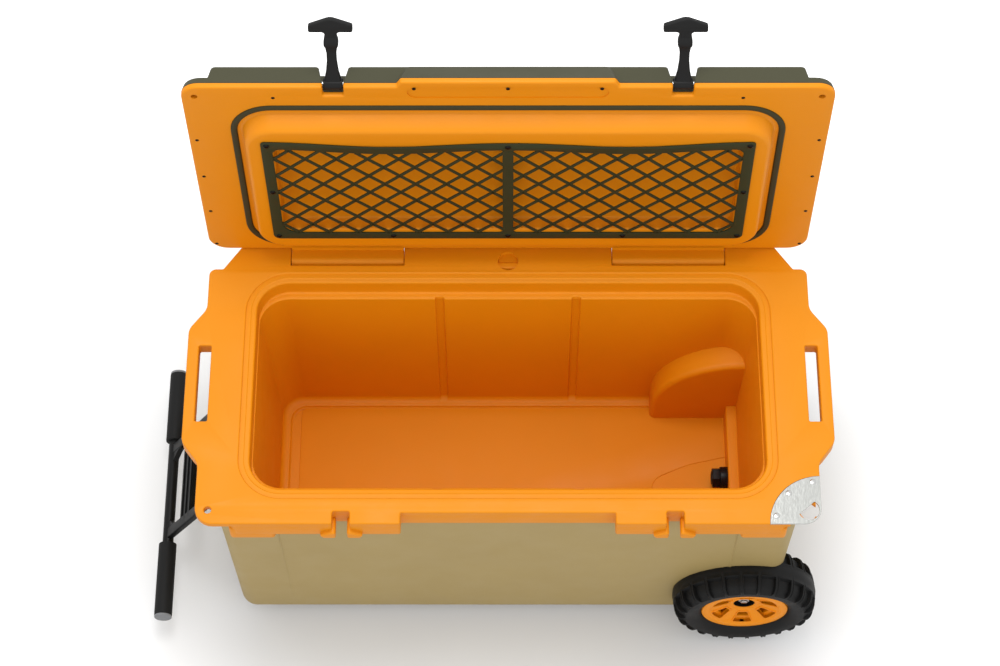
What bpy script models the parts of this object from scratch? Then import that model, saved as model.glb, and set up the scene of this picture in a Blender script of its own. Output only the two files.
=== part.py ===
"""Wheeled hard cooler, modelled open: insulated tub and lid, hinge rod, rubber T latches,
cargo net, tow handle, lugged wheels, drain and bottle opener.

The cooler is laid out with X along its length (wheels at +X), Y from the front edge of the
rim towards the hinge and Z up from the floor. A root empty then moves the whole object, so
that its bounding box stands centred on the origin.
"""
import bmesh
import bpy
from math import acos, atan2, cos, pi, radians, sin, sqrt, tan
from mathutils import Matrix, Vector

# Clearances and cut overruns
seat_gap = 0.0003
running_gap = 0.0005
overrun = 0.010
weld_distance = 0.00001

# Rim of the tub
rim_height = 0.4350
rim_half_length = 0.4245
rim_plate = 0.0080
rim_front_radius = 0.0240
rim_rear_depth = 0.3932
rim_rear_radius = 0.0100
rim_rear_half_length = 0.4050
skirt_half_length = 0.4095
skirt_back = 0.4060
skirt_radius = 0.0500
skirt_drop = 0.0350
skirt_end_drop = 0.0465
skirt_step_half_length = 0.3175
lip_recess_half_length = 0.1460
lip_recess_depth = 0.0165
landing_depth = 0.0030
landing_width = 0.0150
landing_back_width = 0.0135

# Carry handles at the ends of the rim
carry_half_length = 0.4485
carry_front = 0.1225
carry_back = 0.2970
carry_flare = 0.0320
carry_radius = 0.0200
carry_thickness = 0.0240
slot_inner = 0.4112
slot_outer = 0.4345
slot_front = 0.1535
slot_back = 0.2710

# Latch slots and the keeper ears under them
latch_offset = 0.2265
latch_slot_width = 0.0240
latch_slot_depth = 0.0190
ear_width = 0.0220
ear_gap = 0.0155
ear_front = 0.0060
ear_root = 0.0195
ear_drop = 0.0375
ear_inner_rise = 0.0200
ear_outer_rise = 0.0080

# Padlock holes at the front corners
padlock_x = 0.4070
padlock_y = 0.0205
padlock_radius = 0.0045

# Tub cavity
opening_half_length = 0.3540
opening_front = 0.0530
opening_back = 0.3720
opening_radius = 0.0450
liner_wall = 0.0040
ledge_drop = 0.0285
ledge_width = 0.0115
upper_wall_draft = 0.0010
cavity_depth = 0.3350
cavity_draft_x = 0.0030
cavity_draft_y = 0.0090
cavity_floor_radius = 0.0340
floor_lip_rise = 0.0040
floor_lip_width = 0.0130
divider_offset = 0.0975
divider_width = 0.0120
divider_depth = 0.0040

# Raised step and wheel bumps inside the tub
step_face = 0.3290
step_rise = 0.0410
bump_radius = 0.1310
bump_centre_height = 0.1450
bump_depth = 0.0310

# Seams at which the tub's liner is shared among nodes
liner_seam_left = 0.3220
liner_seam_right = 0.2100
floor_seam_rise = 0.0050
step_seam_rise = 0.0455
bump_seam_depth = 0.0360

# Outer shell
shell_half_length = 0.3955
shell_front = 0.0210
shell_back = 0.3960
shell_corner_radius = 0.0450
shell_draft_x = 0.0065
shell_draft_y = 0.0190
shell_wall = 0.0035
shell_bottom = 0.0270
shell_bottom_radius = 0.0120
panel_half_length = 0.3170
panel_depth = 0.0012
panel_bottom = 0.0750

# Hinge
hinge_y = 0.4117
hinge_drop = 0.0110
barrel_radius = 0.0105
hinge_pin_radius = 0.0040
hinge_half_length = 0.3800
lid_knuckle_start = 0.1480
lid_knuckle_end = 0.3090
lid_open_angle = 92.0

# Lid
lid_half_length = 0.4245
lid_front = 0.0000
lid_back = 0.3970
lid_front_radius = 0.0240
lid_back_radius = 0.0270
lid_gap = 0.0010
lid_flange = 0.0070
lid_height = 0.0400
lid_wall = 0.0035
lid_taper = 0.0048
lid_top_radius = 0.0060
lid_lip_half_length = 0.1440
lid_lip = 0.0110
lid_pad_length = 0.0330
lid_pad_depth = 0.0500
lid_pad_height = 0.0195
lid_notch_width = 0.0275
lid_notch_depth = 0.0200
plug_half_length = 0.3505
plug_front = 0.0565
plug_back = 0.3660
plug_radius = 0.0400
plug_end_draft = 0.0035
plug_front_draft = 0.0115
plug_back_draft = 0.0125
plug_depth = 0.0225
pocket_half_length = 0.3115
pocket_front = 0.0960
pocket_back = 0.3070
pocket_radius = 0.0150
pocket_depth = 0.0190

# Gasket
gasket_inset = 0.0036
gasket_width = 0.0092
gasket_groove = 0.0024
gasket_height = 0.0048

# Cargo net
net_half_length = 0.3235
net_front = 0.0760
net_back = 0.3155
net_wave = 0.0075
net_corner_fall = 0.0055
net_radius = 0.0100
net_border = 0.0115
net_bar_width = 0.0145
net_thickness = 0.0022
net_pitch_x = 0.0440
net_pitch_y = 0.0420
net_strand = 0.0043
net_least_hole = 0.0070
net_screw_head_radius = 0.0042
net_screw_head = 0.0020
net_screw_radius = 0.0016
net_screw_hole_radius = 0.0020
net_screw_length = 0.0050

# Rubber T latches
latch_pin_y = 0.0100
latch_pin_rise = 0.0140
latch_pin_radius = 0.0030
latch_bore_radius = 0.0034
latch_barrel_radius = 0.0075
latch_barrel_length = 0.0255
latch_length = 0.1000
latch_strap_width = 0.0130
latch_strap_thickness = 0.0070
latch_bulge_width = 0.0200
latch_bulge_thickness = 0.0130
latch_bulge_start = 0.0545
latch_bulge_end = 0.0710
latch_t_width = 0.0570
latch_t_thickness = 0.0090
latch_t_height = 0.0215
latch_neck_width = 0.0180
latch_neck_share = 0.25
latch_t_shares = ((0.78, 0.02), (1.0, 0.20), (0.94, 0.60), (0.50, 1.0))
latch_pad_half_length = 0.0170
latch_pad_shares = (0.2, 0.7)
latch_back_angle = 22.0
latch_pin_overlap = 0.0040

# Tow handle
tow_centre_y = 0.2150
tow_pivot_x = 0.4120
tow_pivot_z = 0.3450
tow_bar_x = 0.5130
tow_bar_z = 0.0540
tow_bar_radius = 0.0070
tow_half_length = 0.2000
tow_arm_centre = 0.0700
tow_arm_width = 0.0160
tow_arm_thickness = 0.0100
tow_knee_x = 0.4270
tow_knee_z = 0.2260
tow_elbow_x = 0.4650
tow_elbow_z = 0.1350
tow_eye_radius = 0.0100
tow_pin_radius = 0.0040
tow_pin_bore_radius = 0.0044
tow_web_start = 0.0260
tow_web_width = 0.0300
tow_web_thickness = 0.0060
tow_rib_height = 0.0025
tow_rib_width = 0.0040
grip_radius = 0.0133
grip_length = 0.1150
grip_cap_length = 0.0035

# Tow handle bracket
bracket_half_width = 0.0950
bracket_plate = 0.0040
bracket_above = 0.0180
bracket_below = 0.0380
bracket_ear = 0.0060
bracket_stop_drop = 0.0280
bracket_stop_height = 0.0080
bracket_stop_share = 0.5

# Wheels
wheel_x = 0.3465
wheel_front = 0.0060
wheel_mid_y = 0.2105
tyre_radius = 0.1050
tyre_width = 0.0580
tyre_bore_radius = 0.0633
tyre_bead_radius = 0.0690
tyre_shoulder_radius = 0.0960
tyre_crown = 0.0010
tyre_band_half_width = 0.0120
tyre_lugs = 24
tyre_lug_share = 0.62
tyre_lug_depth = 0.0050
hub_radius = 0.0630
hub_lip_radius = 0.0530
hub_dish_radius = 0.0470
hub_dish_depth = 0.0060
hub_centre_depth = 0.0145
hub_centre_radius = 0.0200
hub_socket_radius = 0.0155
hub_socket_depth = 0.0120
hub_web = 0.0060
hub_bore_radius = 0.0065
hub_windows = 6
hub_window_inner = 0.0265
hub_window_outer = 0.0450
hub_window_angle = 34.0
arch_radius = 0.1100
arch_side_gap = 0.0070
axle_radius = 0.0060
axle_insert = 0.0280
axle_socket_radius = 0.0063
axle_head_radius = 0.0095
axle_head = 0.0070
washer_radius = 0.0130
washer_thickness = 0.0015

# Feet under the left end
foot_x = 0.3150
foot_inset_y = 0.0750
foot_radius = 0.0220
foot_taper = 0.0030

# Drain through the right end wall
drain_y = 0.2100
drain_rise = 0.0200
drain_tube_radius = 0.0100
drain_bore_radius = 0.0065
drain_hole_radius = 0.0103
drain_nut_radius = 0.0155
drain_nut_length = 0.0120
drain_flange_radius = 0.0170
drain_flange = 0.0040
drain_neck = 0.0080
drain_seal_thickness = 0.0020
drain_cap_radius = 0.0150
drain_cap_length = 0.0120
drain_cap_wall = 0.0030
drain_cap_ribs = 12
drain_cap_rib = 0.0012
drain_cap_rib_shares = (0.1, 0.9)
drain_recess_radius = 0.0230
drain_recess_depth = 0.0140

# Bottle opener plate on the front right rim corner
opener_radius = 0.0705
opener_thickness = 0.0018
opener_hole_radius = 0.0145
opener_hole_chord = 0.0088
opener_screw_radius = 0.0044
opener_screw_shank = 0.0018
opener_screw_length = 0.0060
opener_screw_inset = 0.0080
opener_screw_angles = (99.0, 134.0, 169.0)
rim_corner_hole_radius = 0.0115

# Shading
crease_angle = 32.0

# Detail counts
corner_steps = 3
round_steps = 15
small_round_steps = 8
wheel_steps = 24


def clear_scene():
    """Start from an empty file."""
    for old in list(bpy.data.objects):
        bpy.data.objects.remove(old, do_unlink=True)


def make_collection(name):
    """New collection linked to the scene."""
    group = bpy.data.collections.new(name)
    bpy.context.scene.collection.children.link(group)
    return group


def make_material(name, colour, roughness, metallic=0.0):
    """Principled material with a linear base colour."""
    material = bpy.data.materials.new(name)
    material.use_nodes = True
    shader = material.node_tree.nodes["Principled BSDF"]
    shader.inputs["Base Color"].default_value = (*colour, 1.0)
    shader.inputs["Roughness"].default_value = roughness
    shader.inputs["Metallic"].default_value = metallic
    return material


def add_object(name, data, group, parent=None, location=(0.0, 0.0, 0.0), material=None):
    """Object around a mesh or curve, placed under its parent."""
    item = bpy.data.objects.new(name, data)
    group.objects.link(item)
    item.parent = parent
    item.location = location
    if material:
        item.data.materials.clear()
        item.data.materials.append(material)
    return item


def add_empty(name, parent=None, location=(0.0, 0.0, 0.0), rotation=(0.0, 0.0, 0.0)):
    """Empty on a joint axis or at a frame's origin."""
    empty = add_object(name, None, parts, parent, location)
    empty.rotation_euler = rotation
    return empty


def add_part(name, mesh, parent, material, location=(0.0, 0.0, 0.0)):
    """One sub-part of the cooler."""
    return add_object(name, mesh, parts, parent, location, material)


def add_cutter(name, mesh, parent, location=(0.0, 0.0, 0.0)):
    """Hidden helper solid that cuts or joins another."""
    cutter = add_object(name, mesh, cutters, parent, location)
    cutter.hide_render = True
    cutter.display_type = "WIRE"
    return cutter


def combine(item, other, operation):
    """Boolean of an object with a helper solid."""
    modifier = item.modifiers.new(other.name, "BOOLEAN")
    modifier.operation = operation
    modifier.solver = "EXACT"
    modifier.object = other


def cut(item, *others):
    """Take helper solids away from an object."""
    for other in others:
        combine(item, other, "DIFFERENCE")


def join(item, *others):
    """Add helper solids to an object."""
    for other in others:
        combine(item, other, "UNION")


def rounded_outline(corners, steps=corner_steps):
    """Closed outline through corners given as (x, y, radius), with an arc at each radius."""
    outline = []
    count = len(corners)
    for index, (x, y, radius) in enumerate(corners):
        point = Vector((x, y))
        if radius == 0:
            outline.append((x, y))
            continue
        before = Vector(corners[index - 1][:2])
        after = Vector(corners[(index + 1) % count][:2])
        to_before = (before - point).normalized()
        to_after = (after - point).normalized()
        half = acos(max(-1.0, min(1.0, to_before.dot(to_after)))) / 2
        centre = point + (to_before + to_after).normalized() * radius / sin(half)
        start = point + to_before * radius / tan(half) - centre
        sweep = start.angle_signed(point + to_after * radius / tan(half) - centre)
        for step in range(steps + 1):
            turn = Matrix.Rotation(-sweep * step / steps, 2)
            outline.append(tuple(centre + turn @ start))
    return outline


def box_outline(low_x, high_x, low_y, high_y, radius=0.0, steps=corner_steps):
    """Rectangle with rounded corners, anticlockwise from the low corner."""
    corners = [(low_x, low_y), (high_x, low_y), (high_x, high_y), (low_x, high_y)]
    return rounded_outline([(x, y, radius) for x, y in corners], steps)


def mirrored_outline(half, steps=corner_steps):
    """Outline symmetric about X = 0 from its right-hand corners, front to back."""
    left = [(-x, y, radius) for x, y, radius in reversed(half)]
    return rounded_outline(half + left, steps)


def circle_outline(x, y, radius, steps=small_round_steps):
    """Circle as a closed outline."""
    turns = [2 * pi * step / steps for step in range(steps)]
    return [(x + radius * cos(turn), y + radius * sin(turn)) for turn in turns]


def loft_mesh(name, levels):
    """Closed solid through outlines of equal point count, from the lowest level up."""
    shape = bmesh.new()
    rings = [[shape.verts.new((x, y, z)) for x, y in outline] for z, outline in levels]
    shape.faces.new(list(reversed(rings[0])))
    shape.faces.new(rings[-1])
    count = len(rings[0])
    for low, high in zip(rings, rings[1:]):
        for index in range(count):
            following = (index + 1) % count
            shape.faces.new((low[index], low[following], high[following], high[index]))
    mesh = bpy.data.meshes.new(name)
    shape.to_mesh(mesh)
    shape.free()
    return mesh


def prism_mesh(name, outline, low, high):
    """Straight solid from an outline in X and Y."""
    return loft_mesh(name, [(low, outline), (high, outline)])


def plate_mesh(name, outlines, low, high):
    """Flat plate with holes: a filled 2D curve with an extrusion, made a mesh."""
    curve = bpy.data.curves.new(name, "CURVE")
    curve.dimensions = "2D"
    curve.fill_mode = "BOTH"
    curve.extrude = (high - low) / 2
    for outline in outlines:
        spline = curve.splines.new("POLY")
        spline.points.add(len(outline) - 1)
        for point, (x, y) in zip(spline.points, outline):
            point.co = (x, y, 0.0, 1.0)
        spline.use_cyclic_u = True
    carrier = add_object(name + "_curve", curve, cutters)
    bpy.context.view_layer.update()
    evaluated = carrier.evaluated_get(bpy.context.evaluated_depsgraph_get())
    mesh = bpy.data.meshes.new_from_object(evaluated)
    bpy.data.objects.remove(carrier, do_unlink=True)
    shape = bmesh.new()
    shape.from_mesh(mesh)
    bmesh.ops.remove_doubles(shape, verts=shape.verts, dist=weld_distance)
    bmesh.ops.translate(shape, verts=shape.verts, vec=(0.0, 0.0, (low + high) / 2))
    bmesh.ops.recalc_face_normals(shape, faces=shape.faces)
    shape.to_mesh(mesh)
    shape.free()
    return mesh


def solids_mesh(name, makers):
    """Mesh holding the solids that each maker adds to one bmesh."""
    shape = bmesh.new()
    for maker in makers:
        maker(shape)
    mesh = bpy.data.meshes.new(name)
    shape.to_mesh(mesh)
    shape.free()
    return mesh


def rod(start, end, radius, steps=round_steps, end_radius=None):
    """Maker of a cylinder or cone between two points."""
    low = Vector(start)
    high = Vector(end)
    along = high - low
    place = Matrix.Translation((low + high) / 2) @ along.to_track_quat("Z", "X").to_matrix().to_4x4()

    def maker(shape):
        bmesh.ops.create_cone(shape, cap_ends=True, segments=steps, radius1=radius,
                              radius2=radius if end_radius is None else end_radius,
                              depth=along.length, matrix=place)
    return maker


def block(low, high):
    """Maker of a box between two corners."""
    middle = (Vector(low) + Vector(high)) / 2
    size = Vector(high) - Vector(low)
    place = Matrix.Translation(middle) @ Matrix.Diagonal((*size, 1.0))

    def maker(shape):
        bmesh.ops.create_cube(shape, size=1.0, matrix=place)
    return maker


def turned_object(name, profile, steps, parent, material):
    """Ring or disc from a profile of (radius, height) run down its outer side."""
    mesh = bpy.data.meshes.new(name)
    count = len(profile)
    closed = profile[0][0] > 0 or profile[-1][0] > 0
    edges = [(index, index + 1) for index in range(count - 1)]
    if closed:
        edges.append((count - 1, 0))
    mesh.from_pydata([(radius, 0.0, height) for radius, height in profile], edges, [])
    item = add_part(name, mesh, parent, material)
    screw = item.modifiers.new("turning", "SCREW")
    screw.axis = "Z"
    screw.steps = steps
    screw.render_steps = steps
    screw.use_merge_vertices = True
    screw.merge_threshold = weld_distance
    return item


# Working places that several pieces share
rim_top = rim_height
skirt_bottom = rim_height - skirt_drop
plate_bottom = rim_height - rim_plate
cavity_floor = rim_height - cavity_depth
ledge_height = rim_height - ledge_drop
hinge_z = rim_height - hinge_drop
lid_under = rim_height + lid_gap
flange_top = lid_under + lid_flange
lid_top = rim_height + lid_height
plug_face = rim_height - plug_depth
wheel_z = tyre_radius
arch_inner_y = wheel_front + tyre_width + arch_side_gap


def shell_outline(height, inset=0.0):
    """Plan outline of the drafted shell at a height, moved in by an inset."""
    fall = (rim_height - height) / (rim_height - shell_bottom)
    half_length = shell_half_length - shell_draft_x * fall - inset
    front = shell_front + shell_draft_y * fall + inset
    back = shell_back - shell_draft_y * fall - inset
    return box_outline(-half_length, half_length, front, back, shell_corner_radius - inset)


def shell_levels(inset, bottom, top):
    """Levels of a block inside the shell, with a rounded bottom edge."""
    radius = shell_bottom_radius
    shoulder = radius * (1 - cos(pi / 4))
    return [(bottom, shell_outline(bottom, inset + radius)),
            (bottom + shoulder, shell_outline(bottom, inset + shoulder)),
            (bottom + radius, shell_outline(bottom + radius, inset)),
            (top, shell_outline(top, inset))]


def side_prism(outline, low_y, high_y):
    """Maker of a solid from an outline in X and Z, drawn out along Y."""
    def maker(shape):
        near = [shape.verts.new((x, low_y, z)) for x, z in outline]
        far = [shape.verts.new((x, high_y, z)) for x, z in outline]
        faces = [shape.faces.new(near), shape.faces.new(list(reversed(far)))]
        count = len(outline)
        for index in range(count):
            following = (index + 1) % count
            faces.append(shape.faces.new((near[following], near[index], far[index], far[following])))
        bmesh.ops.recalc_face_normals(shape, faces=faces)
    return maker


def arch_outline(x, z, radius, bottom, steps=round_steps):
    """Half disc on straight legs, as an outline in X and Z."""
    turns = [pi * step / steps for step in range(steps + 1)]
    top = [(x + radius * cos(turn), z + radius * sin(turn)) for turn in turns]
    return [(x - radius, bottom), (x + radius, bottom)] + top


def shell_pockets(name, grow):
    """Wheel arches, axle sockets and drain recess, grown by a wall."""
    arch = arch_outline(wheel_x, wheel_z, arch_radius + grow, -overrun)
    front_wall = arch_inner_y + grow
    rear_wall = 2 * wheel_mid_y - front_wall
    socket_reach = axle_insert + running_gap + grow
    socket_radius = axle_socket_radius + grow
    drain_z = cavity_floor + drain_rise
    recess_face = shell_half_length - shell_draft_x - drain_recess_depth - grow
    makers = [side_prism(arch, -overrun, front_wall),
              side_prism(arch, rear_wall, 2 * wheel_mid_y + overrun),
              rod((wheel_x, arch_inner_y - overrun, wheel_z),
                  (wheel_x, arch_inner_y + socket_reach, wheel_z), socket_radius),
              rod((wheel_x, 2 * wheel_mid_y - arch_inner_y + overrun, wheel_z),
                  (wheel_x, 2 * wheel_mid_y - arch_inner_y - socket_reach, wheel_z),
                  socket_radius),
              rod((recess_face, drain_y, drain_z), (rim_half_length, drain_y, drain_z),
                  drain_recess_radius + grow)]
    return [add_cutter(name + "_" + str(index), solids_mesh(name, [maker]), root)
            for index, maker in enumerate(makers)]


def drain_hole_cutter(name, radius):
    """Bore of the drain from the tub to the end wall."""
    drain_z = cavity_floor + drain_rise
    return add_cutter(name, solids_mesh(name, [rod((step_face - overrun, drain_y, drain_z),
                                                   (shell_half_length, drain_y, drain_z),
                                                   radius)]), root)


def make_outer_shell():
    """Drafted outer tub with wheel arches, axle bosses and a drain recess."""
    top = plate_bottom - seat_gap
    shell = add_part("outer_shell", loft_mesh("outer_shell", shell_levels(0.0, shell_bottom, top)),
                     root, tan_plastic)
    panel_top = rim_height - skirt_end_drop + overrun
    for name, face, inward in (("front_panel", shell_front, 1), ("back_panel", shell_back, -1)):
        levels = []
        for height in (panel_bottom, panel_top):
            fall = (rim_height - height) / (rim_height - shell_bottom)
            wall = face + inward * shell_draft_y * fall
            edges = sorted((wall + inward * panel_depth, wall - inward * overrun))
            levels.append((height, box_outline(-panel_half_length, panel_half_length, *edges)))
        cut(shell, add_cutter(name, loft_mesh(name, levels), root))
    core = add_cutter("shell_core", loft_mesh("shell_core", shell_levels(
        shell_wall, shell_bottom + shell_wall, rim_height)), root)
    cut(core, *shell_pockets("core_pocket", shell_wall))
    cut(shell, *shell_pockets("shell_pocket", 0.0))
    cut(shell, core, drain_hole_cutter("shell_drain_hole", drain_hole_radius))
    return shell


def cavity_outline(inset_x, inset_front, inset_back, radius, grow):
    """Plan outline of the tub's cavity, grown outward by a wall."""
    half_length = opening_half_length - inset_x + grow
    return box_outline(-half_length, half_length, opening_front + inset_front - grow,
                       opening_back - inset_back + grow, radius + grow)


def divider_levels(x, back, grow):
    """Levels of one divider groove in the front or back wall of the cavity."""
    inset = upper_wall_draft + ledge_width
    levels = []
    for height, extra in ((cavity_floor + floor_lip_rise - grow, cavity_draft_y), (ledge_height - grow, 0)):
        if back:
            edges = (opening_back - inset - extra - overrun,
                     opening_back - inset - extra + divider_depth + grow)
        else:
            edges = (opening_front + inset + extra - divider_depth - grow,
                     opening_front + inset + extra + overrun)
        half_width = divider_width / 2 + grow
        levels.append((height, box_outline(x - half_width, x + half_width, *edges)))
    return levels


def make_cavity(name, grow, top, landing):
    """Solid of the tub's inside, grown outward by a wall thickness."""
    inset = upper_wall_draft + ledge_width
    lip = floor_lip_width
    deep = cavity_outline(inset + cavity_draft_x + lip, inset + cavity_draft_y + lip,
                          inset + cavity_draft_y + lip, cavity_floor_radius - lip, grow)
    floor = cavity_outline(inset + cavity_draft_x, inset + cavity_draft_y,
                           inset + cavity_draft_y, cavity_floor_radius, grow)
    under_ledge = cavity_outline(inset, inset, inset, opening_radius - ledge_width, grow)
    ledge = cavity_outline(upper_wall_draft, upper_wall_draft, upper_wall_draft,
                           opening_radius, grow)
    mouth = cavity_outline(0.0, 0.0, 0.0, opening_radius, grow)
    levels = [(cavity_floor - grow, deep), (cavity_floor + floor_lip_rise - grow, deep),
              (cavity_floor + floor_lip_rise - grow, floor), (ledge_height - grow, under_ledge),
              (ledge_height - grow, ledge)]
    if landing:
        seat = rim_top - landing_depth
        wide = cavity_outline(-landing_width, -landing_width, -landing_back_width,
                              opening_radius + landing_back_width, 0.0)
        levels += [(seat, mouth), (seat, wide), (top, wide)]
    else:
        levels.append((top, mouth))
    cavity = add_cutter(name, loft_mesh(name, levels), root)
    for side, x in (("left", -divider_offset), ("right", divider_offset)):
        for wall, back in (("front", False), ("back", True)):
            groove = name + "_groove_" + side + "_" + wall
            join(cavity, add_cutter(groove, loft_mesh(groove, divider_levels(x, back, grow)), root))
    step = block((step_face + grow, opening_front - overrun, cavity_floor - overrun),
                 (opening_half_length + overrun, opening_back + overrun,
                  cavity_floor + step_rise - grow))
    bump = arch_outline(wheel_x, bump_centre_height, bump_radius - grow, shell_bottom)
    front_face = arch_inner_y + bump_depth - grow
    rear_face = 2 * wheel_mid_y - front_face
    for suffix, maker in (("_step", step),
                          ("_front_bump", side_prism(bump, -overrun, front_face)),
                          ("_rear_bump", side_prism(bump, rear_face, hinge_y))):
        cut(cavity, add_cutter(name + suffix, solids_mesh(name + suffix, [maker]), root))
    return cavity


def make_body_foam():
    """Insulation filling the space between the outer shell and the tub."""
    inset = shell_wall + seat_gap
    foam = add_part("body_foam", loft_mesh("body_foam", shell_levels(
        inset, shell_bottom + inset, plate_bottom - seat_gap)), root, foam_white)
    cut(foam, *shell_pockets("foam_pocket", inset))
    cut(foam, make_cavity("foam_cavity", liner_wall + seat_gap, rim_height, False))
    cut(foam, drain_hole_cutter("foam_drain_hole", drain_hole_radius))
    return foam


def rim_outline():
    """Plan outline of the rim plate with its carry handles and lip recess."""
    return mirrored_outline([
        (lip_recess_half_length, lip_recess_depth, 0.0),
        (lip_recess_half_length, 0.0, 0.0),
        (rim_half_length, 0.0, rim_front_radius),
        (rim_half_length, carry_front - carry_flare, carry_radius),
        (carry_half_length, carry_front, carry_radius),
        (carry_half_length, carry_back, carry_radius),
        (rim_half_length, carry_back + carry_flare, carry_radius),
        (rim_half_length, rim_rear_depth, rim_rear_radius),
        (rim_rear_half_length, rim_rear_depth, 0.0),
        (hinge_half_length, hinge_y, 0.0)])


def make_skirt():
    """Ring under the rim plate that meets the outer shell."""
    outline = mirrored_outline([
        (lip_recess_half_length, lip_recess_depth, 0.0),
        (lip_recess_half_length, 0.0, 0.0),
        (skirt_half_length, 0.0, skirt_radius),
        (skirt_half_length, skirt_back, skirt_radius)])
    bottom = rim_height - skirt_end_drop
    skirt = add_cutter("skirt", prism_mesh("skirt", outline, bottom, rim_top - rim_plate / 2), root)
    inside_bottom = bottom - overrun
    inside = [(inside_bottom, shell_outline(inside_bottom, -seat_gap)),
              (plate_bottom, shell_outline(plate_bottom, -seat_gap))]
    cut(skirt, add_cutter("skirt_inside", loft_mesh("skirt_inside", inside), root))
    step = block((-skirt_step_half_length, -overrun, bottom - overrun),
                 (skirt_step_half_length, hinge_y + overrun, skirt_bottom))
    cut(skirt, add_cutter("skirt_step", solids_mesh("skirt_step", [step]), root))
    return skirt


def make_ears():
    """Keeper ears either side of the latch slots."""
    bottom = rim_height - ear_drop
    ears = []
    for side in (-1, 1):
        for hand in (-1, 1):
            inner = side * latch_offset + hand * ear_gap / 2
            outer = inner + hand * ear_width
            outline = [(inner, bottom), (outer - hand * ear_outer_rise / 2, bottom),
                       (outer, bottom + ear_outer_rise), (inner, bottom + ear_inner_rise)]
            name = "ear_" + str(len(ears))
            ears.append(add_cutter(name, solids_mesh(name, [side_prism(
                outline, -ear_front, ear_root)]), root))
    return ears


def hinge_barrels(name, spans, parent):
    """Round knuckles along the hinge axis, one joined solid per span."""
    return [add_cutter(name + str(index), solids_mesh(name, [rod(
        (start, hinge_y, hinge_z), (end, hinge_y, hinge_z), barrel_radius)]), parent)
        for index, (start, end) in enumerate(spans)]


def opener_outline(radius, reach):
    """Quarter disc at the front right rim corner, run past the rim by a reach."""
    arc = [(rim_half_length + radius * cos(pi / 2 + turn * pi / 2 / round_steps),
            radius * sin(pi / 2 + turn * pi / 2 / round_steps))
           for turn in range(round_steps + 1)]
    corner = rim_front_radius if reach == 0 else 0.0
    return rounded_outline([(rim_half_length - radius, -reach, 0.0),
                            (rim_half_length + reach, -reach, corner),
                            (rim_half_length + reach, radius, 0.0)]) + arc[:-1]


def make_moulding():
    """Tub and rim in one, with carry handles, keepers and hinge knuckles."""
    liner = add_cutter("moulding", prism_mesh("moulding", rim_outline(), plate_bottom, rim_top), root)
    tub = make_cavity("tub_outside", liner_wall, rim_top - rim_plate / 2, False)
    carry = []
    for side, name in ((-1, "left_carry"), (1, "right_carry")):
        inner = skirt_half_length - overrun
        corners = [(inner, carry_front - carry_flare, 0.0),
                   (rim_half_length, carry_front - carry_flare, carry_radius),
                   (carry_half_length, carry_front, carry_radius),
                   (carry_half_length, carry_back, carry_radius),
                   (rim_half_length, carry_back + carry_flare, carry_radius),
                   (inner, carry_back + carry_flare, 0.0)]
        if side < 0:
            corners = [(-x, y, radius) for x, y, radius in reversed(corners)]
        carry.append(add_cutter(name, prism_mesh(name, rounded_outline(corners),
                                                 rim_height - carry_thickness,
                                                 rim_top - rim_plate / 2), root))
    join(liner, make_skirt(), tub, *carry)
    low = rim_height - skirt_end_drop - overrun
    high = rim_top + overrun
    slots = []
    for side in (-1, 1):
        edges = sorted((side * slot_inner, side * slot_outer))
        slots.append(block((edges[0], slot_front, low), (edges[1], slot_back, high)))
        middle = side * latch_offset
        slots.append(block((middle - latch_slot_width / 2, -overrun, low),
                           (middle + latch_slot_width / 2, latch_slot_depth, high)))
        start, end = sorted((side * lid_knuckle_start, side * lid_knuckle_end))
        slots.append(block((start, hinge_y - barrel_radius - running_gap, low),
                           (end, hinge_y + overrun, high)))
    slots.append(rod((-padlock_x, padlock_y, low), (-padlock_x, padlock_y, high), padlock_radius))
    slots.append(rod((padlock_x, padlock_y, low), (padlock_x, padlock_y, high),
                     rim_corner_hole_radius))
    cut(liner, add_cutter("liner_slots", solids_mesh("liner_slots", slots), root))
    join(liner, *make_ears())
    join(liner, *hinge_barrels("body_knuckle_", (
        (-hinge_half_length, -lid_knuckle_end), (-lid_knuckle_start, lid_knuckle_start),
        (lid_knuckle_end, hinge_half_length)), root))
    pin_bore = rod((-hinge_half_length - overrun, hinge_y, hinge_z),
                   (hinge_half_length + overrun, hinge_y, hinge_z),
                   hinge_pin_radius + seat_gap)
    cut(liner, make_cavity("cavity", 0.0, high, True),
        add_cutter("body_pin_bore", solids_mesh("body_pin_bore", [pin_bore]), root),
        drain_hole_cutter("liner_drain_hole", drain_hole_radius))
    recess = prism_mesh("opener_recess", opener_outline(opener_radius + seat_gap, overrun),
                        rim_top - opener_thickness - seat_gap, high)
    cut(liner, add_cutter("opener_recess", recess, root))
    holes = [rod((x, y, rim_top - opener_thickness - opener_screw_length - seat_gap), (x, y, high),
                 opener_screw_shank + seat_gap, small_round_steps) for x, y in opener_screw_places()]
    cut(liner, add_cutter("opener_screw_holes", solids_mesh("opener_screw_holes", holes), root))
    return liner


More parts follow.
